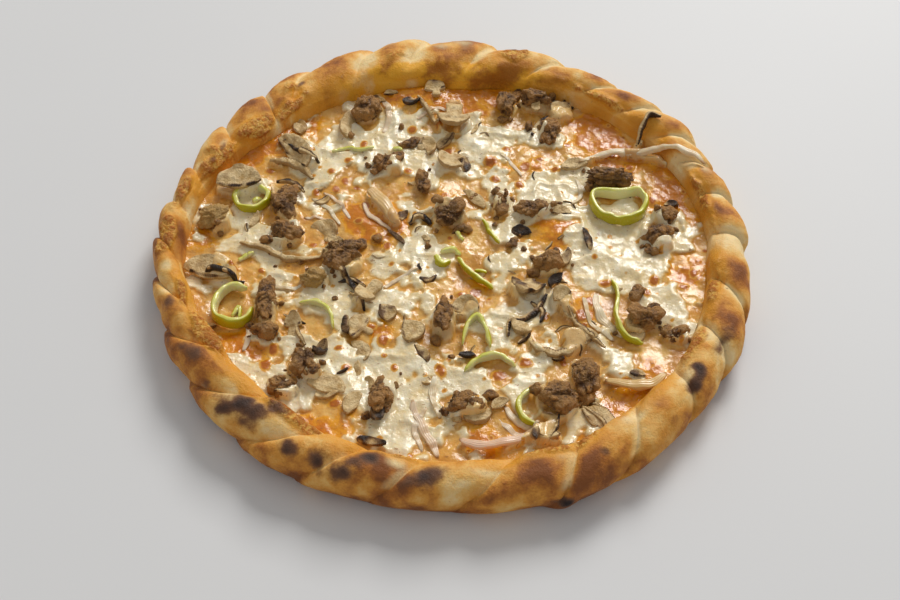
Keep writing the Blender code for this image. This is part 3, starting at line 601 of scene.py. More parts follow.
BLISTERS = (                # x, y, radius: spots where bubbles browned
    (22, 63, 5.0), (23, 50, 3.4), (36, 46, 2.8), (24, -81, 5.2), (36, -75, 4.0), (47, -46, 2.8),
    (78, -23, 4.4), (-5, -79, 4.0), (103, -22, 3.6), (-54, -66, 2.8), (-90, -76, 3.6), (-113, -15, 3.4),
    (-61, -86, 2.6), (-87, -67, 3.0), (-55, -99, 4.0), (-28, -77, 2.8), (-51, -78, 2.4), (-57, 63, 3.4),
    (-50, 77, 3.2), (-24, 89, 3.2), (-74, 40, 3.4), (-62, 42, 3.0), (-101, 55, 3.2), (-24, 57, 3.2),
    (-3, 72, 3.2), (-72, 2, 3.4), (-66, 55, 2.6), (-58, 49, 2.8), (-52, 45, 2.6), (64, -44, 4.6),
    (70, -36, 4.4), (66, -50, 3.0), (74, -42, 3.2), (13, -28, 5.0), (5, -30, 3.0), (40, 60, 4.0),
    (48, 66, 3.6), (-40, 8, 3.4), (-34, 2, 3.0), (-50, 18, 3.2), (90, 70, 3.4), (98, 60, 3.0),
    (118, -26, 3.6), (124, -16, 3.0), (84, -84, 3.0), (58, 58, 2.8), (-34, -60, 3.6), (-40, -52, 3.0),
    (108, 36, 3.0), (-20, -50, 2.4), (16, 30, 2.6), (-46, 30, 3.2), (-8, 92, 2.6), (66, 76, 2.8),
    (98, -30, 2.6), (-98, -16, 2.6), (30, 74, 2.6), (-84, 60, 3.0), (12, -70, 2.8), (54, -72, 2.6),
)


def bells(points, rows, grow=1.0):
    """Sum of bell curves: strength times e to the minus squared distance over squared radius."""
    total = np.zeros(points.shape[:-1])
    for x, y, radius, strength in rows:
        away = ((points[..., 0] / MM - x) ** 2 + (points[..., 1] / MM - y) ** 2) / (grow * radius) ** 2
        total += strength * np.exp(-away)
    return total


def round_sheet(size):
    """Places on a disc from a square grid (u, v): x = u sqrt(1 - v^2/2), y = v sqrt(1 - u^2/2)."""
    u, v = np.meshgrid(np.linspace(-1.0, 1.0, size), np.linspace(-1.0, 1.0, size))
    return np.stack([u * np.sqrt(1.0 - v ** 2 / 2.0), v * np.sqrt(1.0 - u ** 2 / 2.0)], -1)


def node_points(name):
    """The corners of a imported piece, in the layout's frame."""
    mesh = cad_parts[name].data
    flat = np.empty(3 * len(mesh.vertices), np.float32)
    mesh.vertices.foreach_get("co", flat)
    return flat.reshape(-1, 3).astype(float) - SHIFT


def note_tops():
    """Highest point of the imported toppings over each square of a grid, and 0 where none lies.

    Every triangle is sampled at even shares of its three corners. Each square then takes the
    highest of its neighbours, and the whole is evened out by a short bell curve.
    """
    steps = np.arange(17) / 16.0
    first, second = (share.ravel() for share in np.meshgrid(steps, steps))
    inside = first + second <= 1.0
    shares = np.stack([first, second, 1.0 - first - second], -1)[inside]
    tops = np.zeros((RELIEF_GRID, RELIEF_GRID))
    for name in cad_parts:
        if name in ("dough", "cheese") or name.startswith("pepper"):
            continue
        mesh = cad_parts[name].data
        mesh.calc_loop_triangles()
        corners = np.empty(3 * len(mesh.loop_triangles), np.int32)
        mesh.loop_triangles.foreach_get("vertices", corners)
        triangles = node_points(name)[corners.reshape(-1, 3)]
        samples = np.einsum("sk,tkc->tsc", shares, triangles).reshape(-1, 3)
        square = (samples[:, :2] / RELIEF_STEP + RELIEF_GRID / 2.0).astype(int)
        np.maximum.at(tops, (square[:, 1], square[:, 0]), samples[:, 2])
    around = itertools.product((-1, 0, 1), repeat=2)
    tops = np.max([np.roll(tops, move, (0, 1)) for move in around], axis=0)
    bell = np.exp(-(np.arange(-3, 4) / 1.6) ** 2)
    bell = bell / bell.sum()
    for axis in (0, 1):
        tops = sum(part * np.roll(tops, move, axis) for part, move in zip(bell, range(-3, 4)))
    return tops


TOPS = note_tops()


def tops_at(flat):
    """The noted height of the toppings at flat places, blended between the squares."""
    spot = np.clip(flat / RELIEF_STEP + RELIEF_GRID / 2.0 - 0.5, 0.0, RELIEF_GRID - 2.001)
    square = np.floor(spot).astype(int)
    part = spot - square
    column, row = square[..., 0], square[..., 1]
    near, far = (
        TOPS[line, column] * (1.0 - part[..., 0]) + TOPS[line, column + 1] * part[..., 0]
        for line in (row, row + 1)
    )
    return near * (1.0 - part[..., 1]) + far * part[..., 1]


def wall_at(flat):
    """Distance from the middle to the wall of the crust behind each place, and a little into it."""
    angle = np.degrees(np.arctan2(flat[..., 1], flat[..., 0])) % 360.0
    return blend_folds(angle, 3) * MM + INTO_WALL


def melted_shape(flat):
    """Height and masks of the melted layer at flat places in the layout's frame.

    The level is a constant plus the wide swells and waves. Thick white cheese adds soft
    rounded lumps and ridges, which are one minus the size of noise, and blisters add small
    domes. Beside and over a topping the cheese lies a film above it, but no further up than
    a climb that varies from place to place.
    """
    solid = np.concatenate([flat, np.full(flat.shape[:-1] + (1,), 0.0003)], -1)
    warp = np.stack([soft_noise(solid, 0.011, 41), soft_noise(solid, 0.011, 42)], -1) * 0.0042
    bent = flat + warp
    ragged = layered_noise(solid, 0.012, 4, 43)
    thick = bells(bent, WHITE) - 0.80 * bells(bent, ORANGE) + 0.75 * ragged + 0.20
    white = smooth(thick, 0.1, 0.5)
    orange = smooth(bells(bent, ORANGE, 1.1) - 0.3 * bells(bent, WHITE) + 0.35 * ragged, 0.25, 1.0)
    spots, domes = np.zeros((2, *white.shape))
    nudged = flat + 0.35 * warp
    for index, (x, y, radius) in enumerate(BLISTERS):
        squash = 1.0 + 0.35 * math.sin(index * 2.3)
        away = np.hypot(nudged[..., 0] / MM - x, (nudged[..., 1] / MM - y) * squash)
        spots = np.maximum(spots, 1.0 - smooth(away / radius, 0.35, 1.2))
        domes = np.maximum(domes, 1.0 - smooth(away / radius, 0.2, 1.2))
    chosen = smooth(soft_noise(solid, 0.006, 51), -0.05, 0.25)
    small = (1.0 - smooth(nugget_noise(solid, 0.0072, 52), 0.08, 0.32)) * chosen
    spots = np.maximum(spots, small)
    level = CHEESE_TOP + RIPPLE * np.sin(flat[..., 0] / RIPPLE_X) * np.sin(flat[..., 1] / RIPPLE_Y)
    level = level + bells(flat, SWELLS) * MM
    radius = np.linalg.norm(flat, axis=-1) / wall_at(flat)
    level = level + EDGE_CLIMB * radius ** 14
    folded = solid + 0.0022 * np.stack([ragged, -ragged, 0.0 * ragged], -1)
    ridges = (1.0 - np.abs(soft_noise(folded, 0.013, 47))) ** 2
    strings = (1.0 - np.abs(soft_noise(folded, 0.0056, 48))) ** 2
    lumps = white * (0.3 + 1.45 * ridges + 0.5 * strings)
    lumps = lumps + 0.40 * soft_noise(solid, 0.0060, 49) + 0.14 * soft_noise(solid, 0.0030, 50)
    pits = smooth(0.6 - nugget_noise(folded, 0.0038, 53), 0.0, 0.4)
    pits = pits * smooth(soft_noise(solid, 0.011, 56), -0.3, 0.3)
    thin = 1.0 - 0.8 * white
    lumps = lumps + thin * (0.3 * pits + 0.4 * soft_noise(folded, 0.009, 57)) + 0.5 * domes
    poured = level + lumps * MM
    tops = tops_at(flat)
    climb = CLIMB * np.clip(0.75 + 1.5 * soft_noise(solid, 0.010, 54), 0.0, 1.8) - 0.0004
    film = np.minimum(tops + FILM, poured + climb)
    height = np.maximum(poured, film)
    draped = smooth(height - poured, 0.0003, 0.0016)
    height = height + 0.00012 * soft_noise(solid, 0.0024, 55) + 0.0007 * draped * (ridges * strings - 0.4)
    height = np.where(radius > 0.985, np.minimum(height, EDGE_TOP), height)
    return height, {"white": white, "orange": orange, "spot": spots, "near": draped}


def on_cheese(flat, lift=0.0):
    """Points a lift above the melted layer at flat places in the layout's frame."""
    return np.concatenate([flat, melted_shape(flat)[0][:, None] + lift], -1)


def cheese_material():
    """Melted cheese: cream white, gold or orange, browned on its blisters, with an oily shine."""
    material, where = start_material("melted_cheese")
    patchy = where.speckle(70.0, 4.0, 0.6)
    broad = where.speckle(110.0, 5.0, 0.62)
    middling = where.speckle(260.0, 4.0, 0.6)
    fine = where.speckle(600.0, 3.0, 0.6)
    white = where.mask("white") + broad.swing(1.1) + middling.swing(0.6)
    orange = where.mask("orange") + broad.swing(1.2) + middling.swing(0.8)
    rosy = broad.step(0.58, 0.74) * (1.0 - where.mask("white"))
    rim = white.step(0.05, 0.35) * (1.0 - white.step(0.35, 0.75))
    film = where.mask("near") * (middling + 0.4)
    spot = where.mask("spot") + fine.swing(0.5) + middling.swing(0.5)
    colour = broad.step(0.35, 0.65).mix((0.81, 0.49, 0.14), (0.73, 0.34, 0.05)).paint(
        (patchy, 0.48, 0.62, 0.65, (0.50, 0.21, 0.035)),
        (orange, 0.25, 0.70, 1.0, (0.79, 0.34, 0.012)),
        (orange, 0.65, 1.1, 1.0, (0.58, 0.175, 0.004)),
    )
    colour = (rosy * 0.35).mix(colour, (0.54, 0.17, 0.02))
    colour = (rim * 0.65).mix(colour, (0.64, 0.33, 0.065)).paint(
        (film, 0.2, 1.0, 0.60, (0.84, 0.64, 0.32)),
        (white, 0.20, 0.80, 1.0, (0.80, 0.60, 0.29)),
        (white, 0.65, 1.30, 0.85, (0.89, 0.81, 0.60)),
        (spot, 0.10, 0.45, 1.0, (0.74, 0.36, 0.045)),
        (spot, 0.45, 0.95, 1.0, (0.46, 0.13, 0.008)),
        (where.speckle(520.0, 1.0, 0.4), 0.70, 0.75, 0.6, (0.34, 0.13, 0.025)),
    )
    relief = fine * 0.25 + middling + broad * 1.6
    return finish_material(material, {
        "Base Color": colour, "Roughness": 0.18 + middling.swing(0.30), "Normal": relief.bump(0.5, 0.0010),
    }, {
        "Subsurface Weight": 0.15, "Subsurface Scale": 0.0025, "Subsurface Radius": (1.0, 0.7, 0.4),
        "Specular IOR Level": 0.42, "Coat Weight": 0.18, "Coat Roughness": 0.09,
    })


def melt_cheese():
    """The cheese as one closed slab: the sheet above, an upright edge and a flat fan below."""
    flat = round_sheet(CHEESE_GRID)
    flat = flat * wall_at(flat)[..., None]
    height, masks = melted_shape(flat)
    sheet = (np.concatenate([flat, height[..., None]], -1) + SHIFT).reshape(-1, 3)
    number = np.arange(CHEESE_GRID ** 2).reshape(CHEESE_GRID, CHEESE_GRID)
    rim = np.concatenate([number[0, :-1], number[:-1, -1], number[-1, :0:-1], number[:0:-1, 0]])
    bottom = BASE_THICKNESS + 0.0002
    foot = sheet[rim] * (1.0, 1.0, 0.0) + (0.0, 0.0, bottom)
    points = np.concatenate([sheet, foot, [[0.0, 0.0, bottom]]])
    lower = len(sheet) + np.arange(len(rim))
    middle = np.full(len(rim), len(points) - 1)
    sides = np.stack([rim, lower, np.roll(lower, -1), np.roll(rim, -1)], -1)
    under = np.stack([lower, middle, np.roll(lower, -1)], -1)
    faces = grid_faces(CHEESE_GRID, CHEESE_GRID, False).tolist() + sides.tolist() + under.tolist()
    masks = {name: np.append(values.ravel(), np.zeros(len(rim) + 1)) for name, values in masks.items()}
    layer = add_piece("cheese_layer", cheese_material(), points, faces, masks)
    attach(layer, "root")
    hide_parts("cheese")


melt_cheese()


# Meat: minced meat fried to brown crumbs that clump, scattered in loose lumps and pressed a
# little into the cheese. Two of the lumps are paler, where they are bread-coloured and dry.
LUMP_ROWS = 56
LUMP_COLUMNS = 88
CRUMB_ROWS = 14
CRUMB_COLUMNS = 22
MEAT_SUNK = 0.0014          # how far a lump is pressed into the cheese
SMALL_ROWS = 8
SMALL_COLUMNS = 12
SMALL_CRUMBS = 5            # loose crumbs that fell beside each lump
TAN_LUMPS = ("meat_28", "meat_29")
CRUMBS = (                  # x, y, length, width, height, turn
    (-23, 77, 13, 9, 7, 10), (43, 90, 9, 6, 6, 80), (94, -29, 10, 8, 7, 60), (-48, 3, 8, 6, 5, 0),
    (-39, 6, 6, 5, 4, 30), (12, 37, 6, 4, 4, 0), (32, 3, 9, 7, 5, 40), (-42, 55, 8, 6, 5, 20),
    (-30, 66, 9, 7, 5, 60), (-52, 96, 9, 7, 6, 0), (-96, 4, 8, 6, 5, 30), (-80, 6, 8, 6, 5, 0),
    (104, -2, 8, 6, 5, 0), (114, 12, 8, 6, 5, 20), (106, -56, 7, 6, 5, 0), (18, -94, 7, 6, 5, 0),
    (-3, -103, 7, 6, 5, 0), (64, -96, 8, 7, 6, 0), (40, -92, 7, 6, 6, 0), (6, 14, 8, 6, 5, 0),
    (-8, 30, 7, 6, 5, 0), (56, 31, 7, 5, 5, 30), (36, 27, 7, 5, 5, 0), (24, 38, 7, 6, 6, 0),
    (75, 44, 7, 6, 6, 70), (94, 42, 7, 6, 6, 100), (38, 118, 9, 6, 6, 70), (58, 116, 9, 6, 6, 100),
    (28, 96, 6, 5, 4, 0), (-58, 84, 5, 4, 3, 0), (-100, -52, 5, 4, 4, 0), (-90, -60, 5, 4, 3, 0),
    (-66, -84, 6, 5, 5, 60), (-40, -106, 6, 5, 4, 0), (-1, -40, 6, 5, 5, 0), (-8, -60, 7, 5, 5, 90),
    (118, -62, 5, 4, 4, 0), (102, -40, 7, 6, 5, 0), (42, -18, 7, 5, 5, 0), (54, -4, 7, 5, 5, 60),
)


def lump_surface(low, high, turn, rows, columns, seed):
    """A craggy lump about as large as a box given by its corners, turned about Z, and a mask that is low in
    its crevices, where shade is painted.

    Directions on a ball are stretched to the box and pushed out by nuggets, which are one
    minus the distance to the nearest scattered point, at three sizes, and by soft noise.
    """
    down = (np.arange(rows) + 0.5)[:, None] * math.pi / rows
    around = -np.arange(columns) * 2.0 * math.pi / columns
    ball = np.stack([np.sin(down) * np.cos(around), np.sin(down) * np.sin(around),
                     np.cos(down) * np.ones(columns)], -1).reshape(-1, 3)
    ball = np.concatenate([ball, [[0.0, 0.0, 1.0], [0.0, 0.0, -1.0]]])
    half = (high - low) / 2.0
    place = ball * half + 0.31 * seed
    size = np.cbrt(half.prod())
    twisted = place + 0.45 * size * np.stack([soft_noise(place, 0.8 * size, seed + i) for i in (1, 2, 3)], -1)
    nuggets = 1.0 - nugget_noise(twisted, 0.95 * size, seed + 4)
    clods = 1.0 - nugget_noise(twisted, 0.0034, seed + 5)
    crumbs = 1.0 - nugget_noise(place, 0.0017, seed + 6)
    wide = soft_noise(place, 1.2 * size, seed + 7)
    grit = layered_noise(place, 0.0030, 3, seed + 8)
    push = 0.88 + 0.42 * (nuggets - 0.4) + 0.46 * wide
    push = push + 0.26 * (clods - 0.5) + 0.12 * (crumbs - 0.5) + 0.10 * grit
    shape = ball * half * push[:, None]
    spin = math.radians(turn)
    across = shape[:, 0] * math.cos(spin) - shape[:, 1] * math.sin(spin)
    along = shape[:, 0] * math.sin(spin) + shape[:, 1] * math.cos(spin)
    shape = np.stack([across, along, shape[:, 2]], -1)
    # High on the nuggets and low in the crevices between them, where the material paints shade.
    gap_shade_mask = smooth(0.7 * nuggets + 0.55 * clods + 0.35 * crumbs + 0.3 * wide, 0.35, 1.25)
    return shape, gap_shade_mask


def packed_box(name):
    """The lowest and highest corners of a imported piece."""
    return (np.array(corner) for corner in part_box(name))


def meat_material():
    """Fried mince: painted shade dark brown in the gaps, warm brown on the crumbs, pale flecks that are
    partly painted highlights, slightly greasy.
    """
    material, where = start_material("fried_meat")
    fine = where.speckle(1000.0, 4.0, 0.65)
    broad = where.speckle(240.0, 3.0, 0.6)
    grains = where.speckle(520.0, 3.0, 0.7)
    # The top mask sets painted shade: dark brown in the gaps, warm brown on the tops of the crumbs.
    top = where.mask("top") + fine.swing(0.6) + grains.swing(1.1)
    colour = top.step(0.0, 0.9).mix((0.095, 0.038, 0.009), (0.42, 0.195, 0.045)).paint(
        (broad, 0.42, 0.70, 0.6, (0.42, 0.225, 0.065)),
        # Pale flecks on the crumbs: partly light crumbs, partly painted highlights.
        (fine, 0.56, 0.78, 0.45, (0.58, 0.36, 0.14)),
    )
    colour = (where.mask("tan") * 0.75).mix(colour, (0.56, 0.34, 0.10))
    relief = fine * 0.6 + grains * 1.6
    return finish_material(material, {
        "Base Color": colour, "Roughness": 0.42 + broad.swing(0.5), "Normal": relief.bump(0.9, 0.0016),
    }, {"Specular IOR Level": 0.45})


def gather(parts):
    """Join parts of (points, faces, masks) into one set of arrays."""
    points, faces, masks = [], [], {}
    count = 0
    for part_points, part_faces, part_masks in parts:
        points.append(part_points)
        faces += [[count + corner for corner in face] for face in part_faces]
        count += len(part_points)
        for name, values in part_masks.items():
            masks.setdefault(name, []).append(values)
    return np.concatenate(points), faces, {name: np.concatenate(values) for name, values in masks.items()}


def crumb(half, turn, rows, columns, seed, middle):
    """A loose lump about its middle: points, faces and masks."""
    shape, gap_shade_mask = lump_surface(-half, half, turn, rows, columns, seed)
    return shape + middle, capped_faces(rows, columns), {"top": gap_shade_mask, "tan": np.zeros(gap_shade_mask.shape)}


def fry_meat():
    """One craggy lump in the place of each meat node, and one piece of loose crumbs."""
    material = meat_material()
    names = sorted(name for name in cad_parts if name.startswith("meat"))
    for number, name in enumerate(names):
        low, high = packed_box(name)
        low[2] -= MEAT_SUNK
        shape, gap_shade_mask = lump_surface(low, high, 0.0, LUMP_ROWS, LUMP_COLUMNS, 10 * number)
        least, most = shape.min(axis=0), shape.max(axis=0)
        points = low + (shape - least) * (high - low) / (most - least)
        masks = {"top": gap_shade_mask, "tan": np.full(gap_shade_mask.shape, float(name in TAN_LUMPS))}
        lump = add_piece(
            f"mince_{number + 1:02d}", material, points, capped_faces(LUMP_ROWS, LUMP_COLUMNS), masks)
        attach(lump, "root")
        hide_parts(name)
    parts = []
    for number, (x, y, length, width, height, turn) in enumerate(CRUMBS):
        half = np.array([length, width, height]) * MM / 2.0
        middle = on_cheese(np.array([[x, y]]) * MM, 0.2 * height * MM)[0] + SHIFT
        parts.append(crumb(half, turn, CRUMB_ROWS, CRUMB_COLUMNS, 500 + 10 * number, middle))
    draw = np.random.default_rng(77)
    for number, name in enumerate(names):
        low, high = packed_box(name)
        away = (high - low)[:2] * draw.normal(0.0, 0.42, (SMALL_CRUMBS, 2))
        spots = on_cheese((low + high)[:2] / 2.0 + away - SHIFT[:2]) + SHIFT
        for place, spot in enumerate(spots):
            half = draw.uniform(0.0009, 0.0021) * draw.uniform(0.7, 1.2, 3)
            turn = draw.uniform(0.0, 360.0)
            middle = spot + (0.0, 0.0, 0.3 * half[2])
            parts.append(crumb(half, turn, SMALL_ROWS, SMALL_COLUMNS, 1000 + 50 * number + 7 * place, middle))
    crumbs = add_piece("mince_crumbs", material, *gather(parts))
    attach(crumbs, "root")


fry_meat()


# Mushrooms: raw button mushrooms sliced 3 mm thick, which dried and browned at their edges.
# A slice shows cream flesh, a dark band of gills under the cap and a thin brown skin.
SLICE_HALF = 0.0014         # half a slice's thickness
BURNT_SHRINK = 0.55         # how far a burnt slice shrank across its cap
SCRAP_COUNT = 26            # small broken pieces half sunk in the cheese
SHRED_COUNT = 28            # thin curled shreds, some of them burnt
SCATTER = 112.0             # radius within which these small pieces fell
SLICE_ROWS = 44
SLICE_AROUND = 40
LOOSE_ROWS = 32
LOOSE_AROUND = 28
SCRAP_ROWS = 20
CAPS = (                    # cap width, cap height, stem width, stem length, tilt, turn, darkness
    (24, 12, 0, 0, 18, 8, 0.9), (29, 11, 0, 0, 25, -52, 0.8), (27, 11, 0, 0, 16, -14, 0.9),
    (12, 8, 6, 9, 15, 140, 0.3), (19, 9, 9, 14, 8, 178, 0.3), (16, 9, 6, 7, 15, 140, 0.5),
    (14, 9, 6, 3, 20, 0, 1.0), (18, 10, 6, 4, 25, 165, 1.6), (17, 8, 0, 0, 20, 20, 0.8),
    (10, 7, 5, 12, 15, 25, 0.7), (13, 7, 5, 6, 15, 150, 0.8), (14, 10, 5, 4, 20, 60, 0.9),
)
LOOSE_CAPS = (              # x, y, then as above
    (-87, 92, 13, 7, 0, 0, 20, -30, 0.7), (-60, 93, 22, 8, 0, 0, 15, 75, 0.6),
    (-14, 76, 15, 7, 4, 4, 20, -75, 0.6), (-10, 118, 13, 8, 5, 5, 10, 10, 1.2),
    (-66, 14, 17, 10, 0, 0, 15, -40, 0.2), (-79, -53, 10, 7, 5, 9, 15, 5, 0.9),
    (-18, -55, 14, 10, 0, 0, 15, -80, 0.6), (-45, -53, 16, 8, 4, 5, 15, 60, 1.0),
    (-13, -68, 12, 7, 0, 0, 15, -60, 1.3), (-43, -66, 13, 7, 0, 0, 12, -60, 0.2),
    (-59, -86, 20, 9, 0, 0, 8, -20, 0.2), (-60, -91, 12, 6, 0, 0, 8, 15, 0.2),
    (-48, -98, 14, 6, 0, 0, 10, 60, 0.3), (-31, -44, 11, 7, 0, 0, 10, -70, 1.2),
    (-37, -120, 13, 6, 0, 0, 12, -10, 1.6), (48, 107, 8, 6, 5, 9, 12, -5, 0.1),
    (66, 111, 16, 9, 0, 0, 20, 60, 2.0), (48, 92, 16, 7, 0, 0, 20, 60, 2.0),
    (67, 62, 15, 6, 0, 0, 15, 15, 0.5), (36, 14, 10, 8, 0, 0, 20, 0, 1.6),
    (58, 26, 12, 5, 0, 0, 15, -5, 1.0), (72, 4, 16, 6, 0, 0, 20, -80, 2.0),
    (118, 32, 9, 5, 0, 0, 20, 0, 1.4), (13, -107, 14, 6, 0, 0, 10, 195, 0.1),
    (38, -118, 8, 6, 0, 0, 15, 80, 1.6), (70, -106, 20, 9, 0, 0, 15, -50, 0.6),
    (91, -59, 11, 5, 0, 0, 15, 190, 0.8), (90, -80, 8, 6, 0, 0, 15, -10, 1.4),
    (34, -54, 12, 6, 0, 0, 15, 150, 0.4), (52, -22, 10, 7, 0, 0, 20, 60, 2.0),
    (14, 36, 16, 5, 0, 0, 15, -50, 0.6), (-36, 117, 10, 6, 0, 0, 15, 0, 1.6),
    (-24, 109, 9, 7, 0, 0, 15, 15, 1.8), (52, -71, 6, 4, 0, 0, 15, 0, 1.6),
    (22, -98, 9, 4, 0, 0, 12, 30, 0.4), (-104, 98, 10, 5, 0, 0, 15, 10, 1.5),
    (-86, 88, 9, 5, 0, 0, 20, -60, 0.6), (8, -69, 8, 4, 0, 0, 10, 0, 1.5),
    (-42, 113, 9, 5, 0, 0, 15, -20, 1.4), (-120, -52, 7, 4, 0, 0, 10, 0, 1.3),
)
CURLS = (                   # wall, tall, darkness, lift, route: slices that stand on their edges
    (3.0, 3.0, 1.7, 0.7, ((-63, -15), (-57, -18), (-52, -24), (-47, -31))),
    (2.4, 2.4, 1.8, 0.7, ((-58, -24), (-50, -22), (-44, -26))),
    (2.2, 2.2, 1.6, 0.7, ((-52, -30), (-46, -36), (-44, -42))),
    (3.0, 3.0, 1.7, 0.8, ((48, -32), (43, -41), (36, -47), (29, -50), (28, -58))),
    (2.4, 2.6, 1.9, 0.8, ((40, -36), (46, -42), (44, -50))),
    (2.6, 2.2, 1.5, 0.8, ((34, -50), (38, -56), (33, -62))),
    (2.6, 3.2, 2.0, 1.8, ((-133, -19), (-120, -20), (-106, -25))),
    (2.8, 3.2, 2.0, 2.0, ((-94, 76), (-85, 67), (-74, 60))),
    (2.6, 3.0, 0.4, 1.4, ((-20, 112), (-15, 103), (-8, 90))),
    (3.0, 3.4, 0.1, 1.0, ((-111, 2), (-98, -2), (-88, -7), (-76, -8), (-66, -6))),
    (2.6, 3.0, 2.0, 2.4, ((-96, 47), (-87, 46), (-80, 39))),
    (1.8, 2.2, 2.0, 1.4, ((-84, -45), (-79, -48), (-73, -50))),
    (2.4, 2.8, 0.9, 1.4, ((58, -44), (65, -55), (75, -66))),
    (3.2, 3.0, 2.0, 1.0, ((-23, 17), (-17, 22), (-11, 17))),
    (2.0, 2.4, 2.0, 1.2, ((50, -108), (49, -114), (46, -120))),
    (2.4, 2.6, 0.7, 1.0, ((66, -97), (74, -104), (80, -116))),
    (2.0, 2.2, 0.7, 1.0, ((62, -100), (70, -108), (76, -118))),
    (2.2, 2.4, 0.6, 1.0, ((-78, -46), (-76, -56), (-72, -64))),
)
STANDING_SLICES = (         # wall, tall, darkness, route
    (4.0, 4.0, 0.6, ((38, -60), (44, -67), (54, -69), (65, -63))),
    (4.0, 4.0, 0.4, ((-101, 62), (-92, 61), (-83, 57), (-77, 50))),
    (3.0, 3.4, 0.9, ((116, 85), (110, 86), (106, 80), (102, 72))),
)


def signed_power(values, power):
    """The size of each value raised to a power, with the value's sign."""
    return np.sign(values) * np.abs(values) ** power


def slice_surface(cap_width, cap_height, stem_width, stem_length, dark, seed,
                  rows=SLICE_ROWS, around=SLICE_AROUND, raggedness=0.07):
    """A mushroom slice lying flat about the origin, and its masks.

    Rows run from the foot of the stem to the top of the cap. The half-width of a row is the
    stem's, then half an ellipse, and the section there is a rounded slab. The slice then
    curls like a shallow bowl and gets a little soft noise.
    """
    foot = -stem_length if stem_length else -0.22 * cap_height
    along = foot + (cap_height - foot) * (0.5 - 0.5 * np.cos(math.pi * np.linspace(0.0, 1.0, rows)))
    if stem_length:
        on_stem = int(rows * 0.36)
        lower = foot * (0.5 + 0.5 * np.cos(math.pi * np.linspace(0.0, 1.0, on_stem)))
        share = np.linspace(0.0, 1.0, rows - on_stem)
        upper = -0.12 * cap_height + 1.12 * cap_height * (1.0 - np.cos(math.pi * share)) / 2.0
        along = np.sort(np.concatenate([lower, upper]))
    cap = cap_width / 2.0 * np.sqrt(np.clip(1.0 - (np.clip(along, 0.0, None) / cap_height) ** 2, 0.0, 1.0))
    under = smooth(along, -0.14 * cap_height, 0.10 * cap_height)
    stem = stem_width / 2.0 * (1.0 - 0.12 * np.cos(math.pi * along / max(stem_length, 1.0)))
    round_foot = np.sqrt(np.clip((along - foot) / (0.12 * (cap_height - foot)), 0.0, 1.0))
    if stem_length:
        half_width = np.maximum(stem * (along < 0.1 * cap_height), cap * under)
    else:
        half_width = cap * (0.55 + 0.45 * under)
    half_width = np.maximum(half_width * round_foot, 0.05)
    turn = -np.arange(around) * 2.0 * math.pi / around
    side, thick = signed_power(np.cos(turn), 0.55), signed_power(np.sin(turn), 0.45)
    thin = np.clip(half_width / 1.6, 0.25, 1.0) ** 0.5
    middle = (cap_height - stem_length) / 2.0
    y = (along - middle) * MM
    x, z = half_width[:, None] * side * MM, SLICE_HALF * thin[:, None] * thick
    body = np.stack([x, y[:, None] * np.ones(around), z], -1)
    points = np.concatenate([body.reshape(-1, 3), [[0.0, y[0], 0.0], [0.0, y[-1], 0.0]]])
    wobble = soft_noise(points + 0.37 * seed, 0.006, 301 + seed)
    ripple = soft_noise(points + 0.11 * seed, 0.0025, 302 + seed)
    points[:, :2] *= 1.0 + raggedness * (wobble + 0.4 * ripple)[:, None]
    reach = (points[:, 0] / (cap_width / 2.0 * MM)) ** 2 * 0.9 + (points[:, 1] / (cap_height * MM)) ** 2 * 0.5
    crumple = 1.0 + 1.2 * max(dark - 1.2, 0.0)
    points[:, 2] += 0.0014 * reach + 0.0011 * wobble * crumple + 0.0005 * ripple * crumple

    across = np.abs(points[:, 0]) / (cap_width / 2.0 * MM)
    up = (points[:, 1] / MM + middle) / cap_height
    gill_line = 0.08 if stem_length else -0.10
    band = np.exp(-((up - gill_line - 0.16 * across ** 2) / 0.10) ** 2)
    outside_stem = smooth(across, 0.9 * stem_width / cap_width, 1.25 * stem_width / cap_width + 0.05)
    gill = band * (outside_stem if stem_length else 1.0) * min(dark, 1.3) * (0.7 + 1.0 * ripple)
    rim = np.concatenate([(np.abs(side) * np.ones((rows, 1))).ravel(), [0.6, 1.0]])
    top_edge = smooth(up, 0.86, 1.0)
    skin = np.maximum(smooth(rim, 0.86, 1.0) * smooth(up, 0.02, 0.2), top_edge)
    burnt = max(dark - 1.0, 0.0) * (0.50 + 1.8 * wobble + 0.7 * ripple)
    return points, {"gill": gill, "skin": skin * 0.8, "burnt": burnt, "ray": points[:, 0]}


def tilt_and_turn(points, tilt, turn):
    """Tilt points about X and then turn them about Z, both in degrees."""
    turned = Matrix.Rotation(math.radians(turn), 3, "Z") @ Matrix.Rotation(math.radians(tilt), 3, "X")
    return points @ np.array(turned).T


def smooth_route(knots, closed, count):
    """Evenly spaced points on a smooth curve through given ones.

    Between knots b and c runs the Catmull-Rom cubic of a, b, c and d. The fine points on it
    are then spaced again by the length travelled.
    """
    knots = np.array(knots, float) * MM
    if closed:
        padded = np.concatenate([knots[-1:], knots, knots[:2]])
    else:
        padded = np.concatenate([2.0 * knots[:1] - knots[1:2], knots, 2.0 * knots[-1:] - knots[-2:-1]])
    a, b, c, d = (padded[i:len(padded) - 3 + i, None] for i in range(4))
    t = np.linspace(0.0, 1.0, 16, endpoint=False)[None, :, None]
    fine = 0.5 * (2.0 * b + (c - a) * t + (2.0 * a - 5.0 * b + 4.0 * c - d) * t ** 2
                  + (3.0 * b - 3.0 * c + d - a) * t ** 3)
    fine = np.concatenate([fine.reshape(-1, 2), padded[-2:-1]])
    travelled = np.append(0.0, np.cumsum(np.linalg.norm(np.diff(fine, axis=0), axis=1)))
    even = np.linspace(0.0, travelled[-1], count, endpoint=not closed)
    return np.stack([np.interp(even, travelled, fine[:, i]) for i in range(2)], -1)


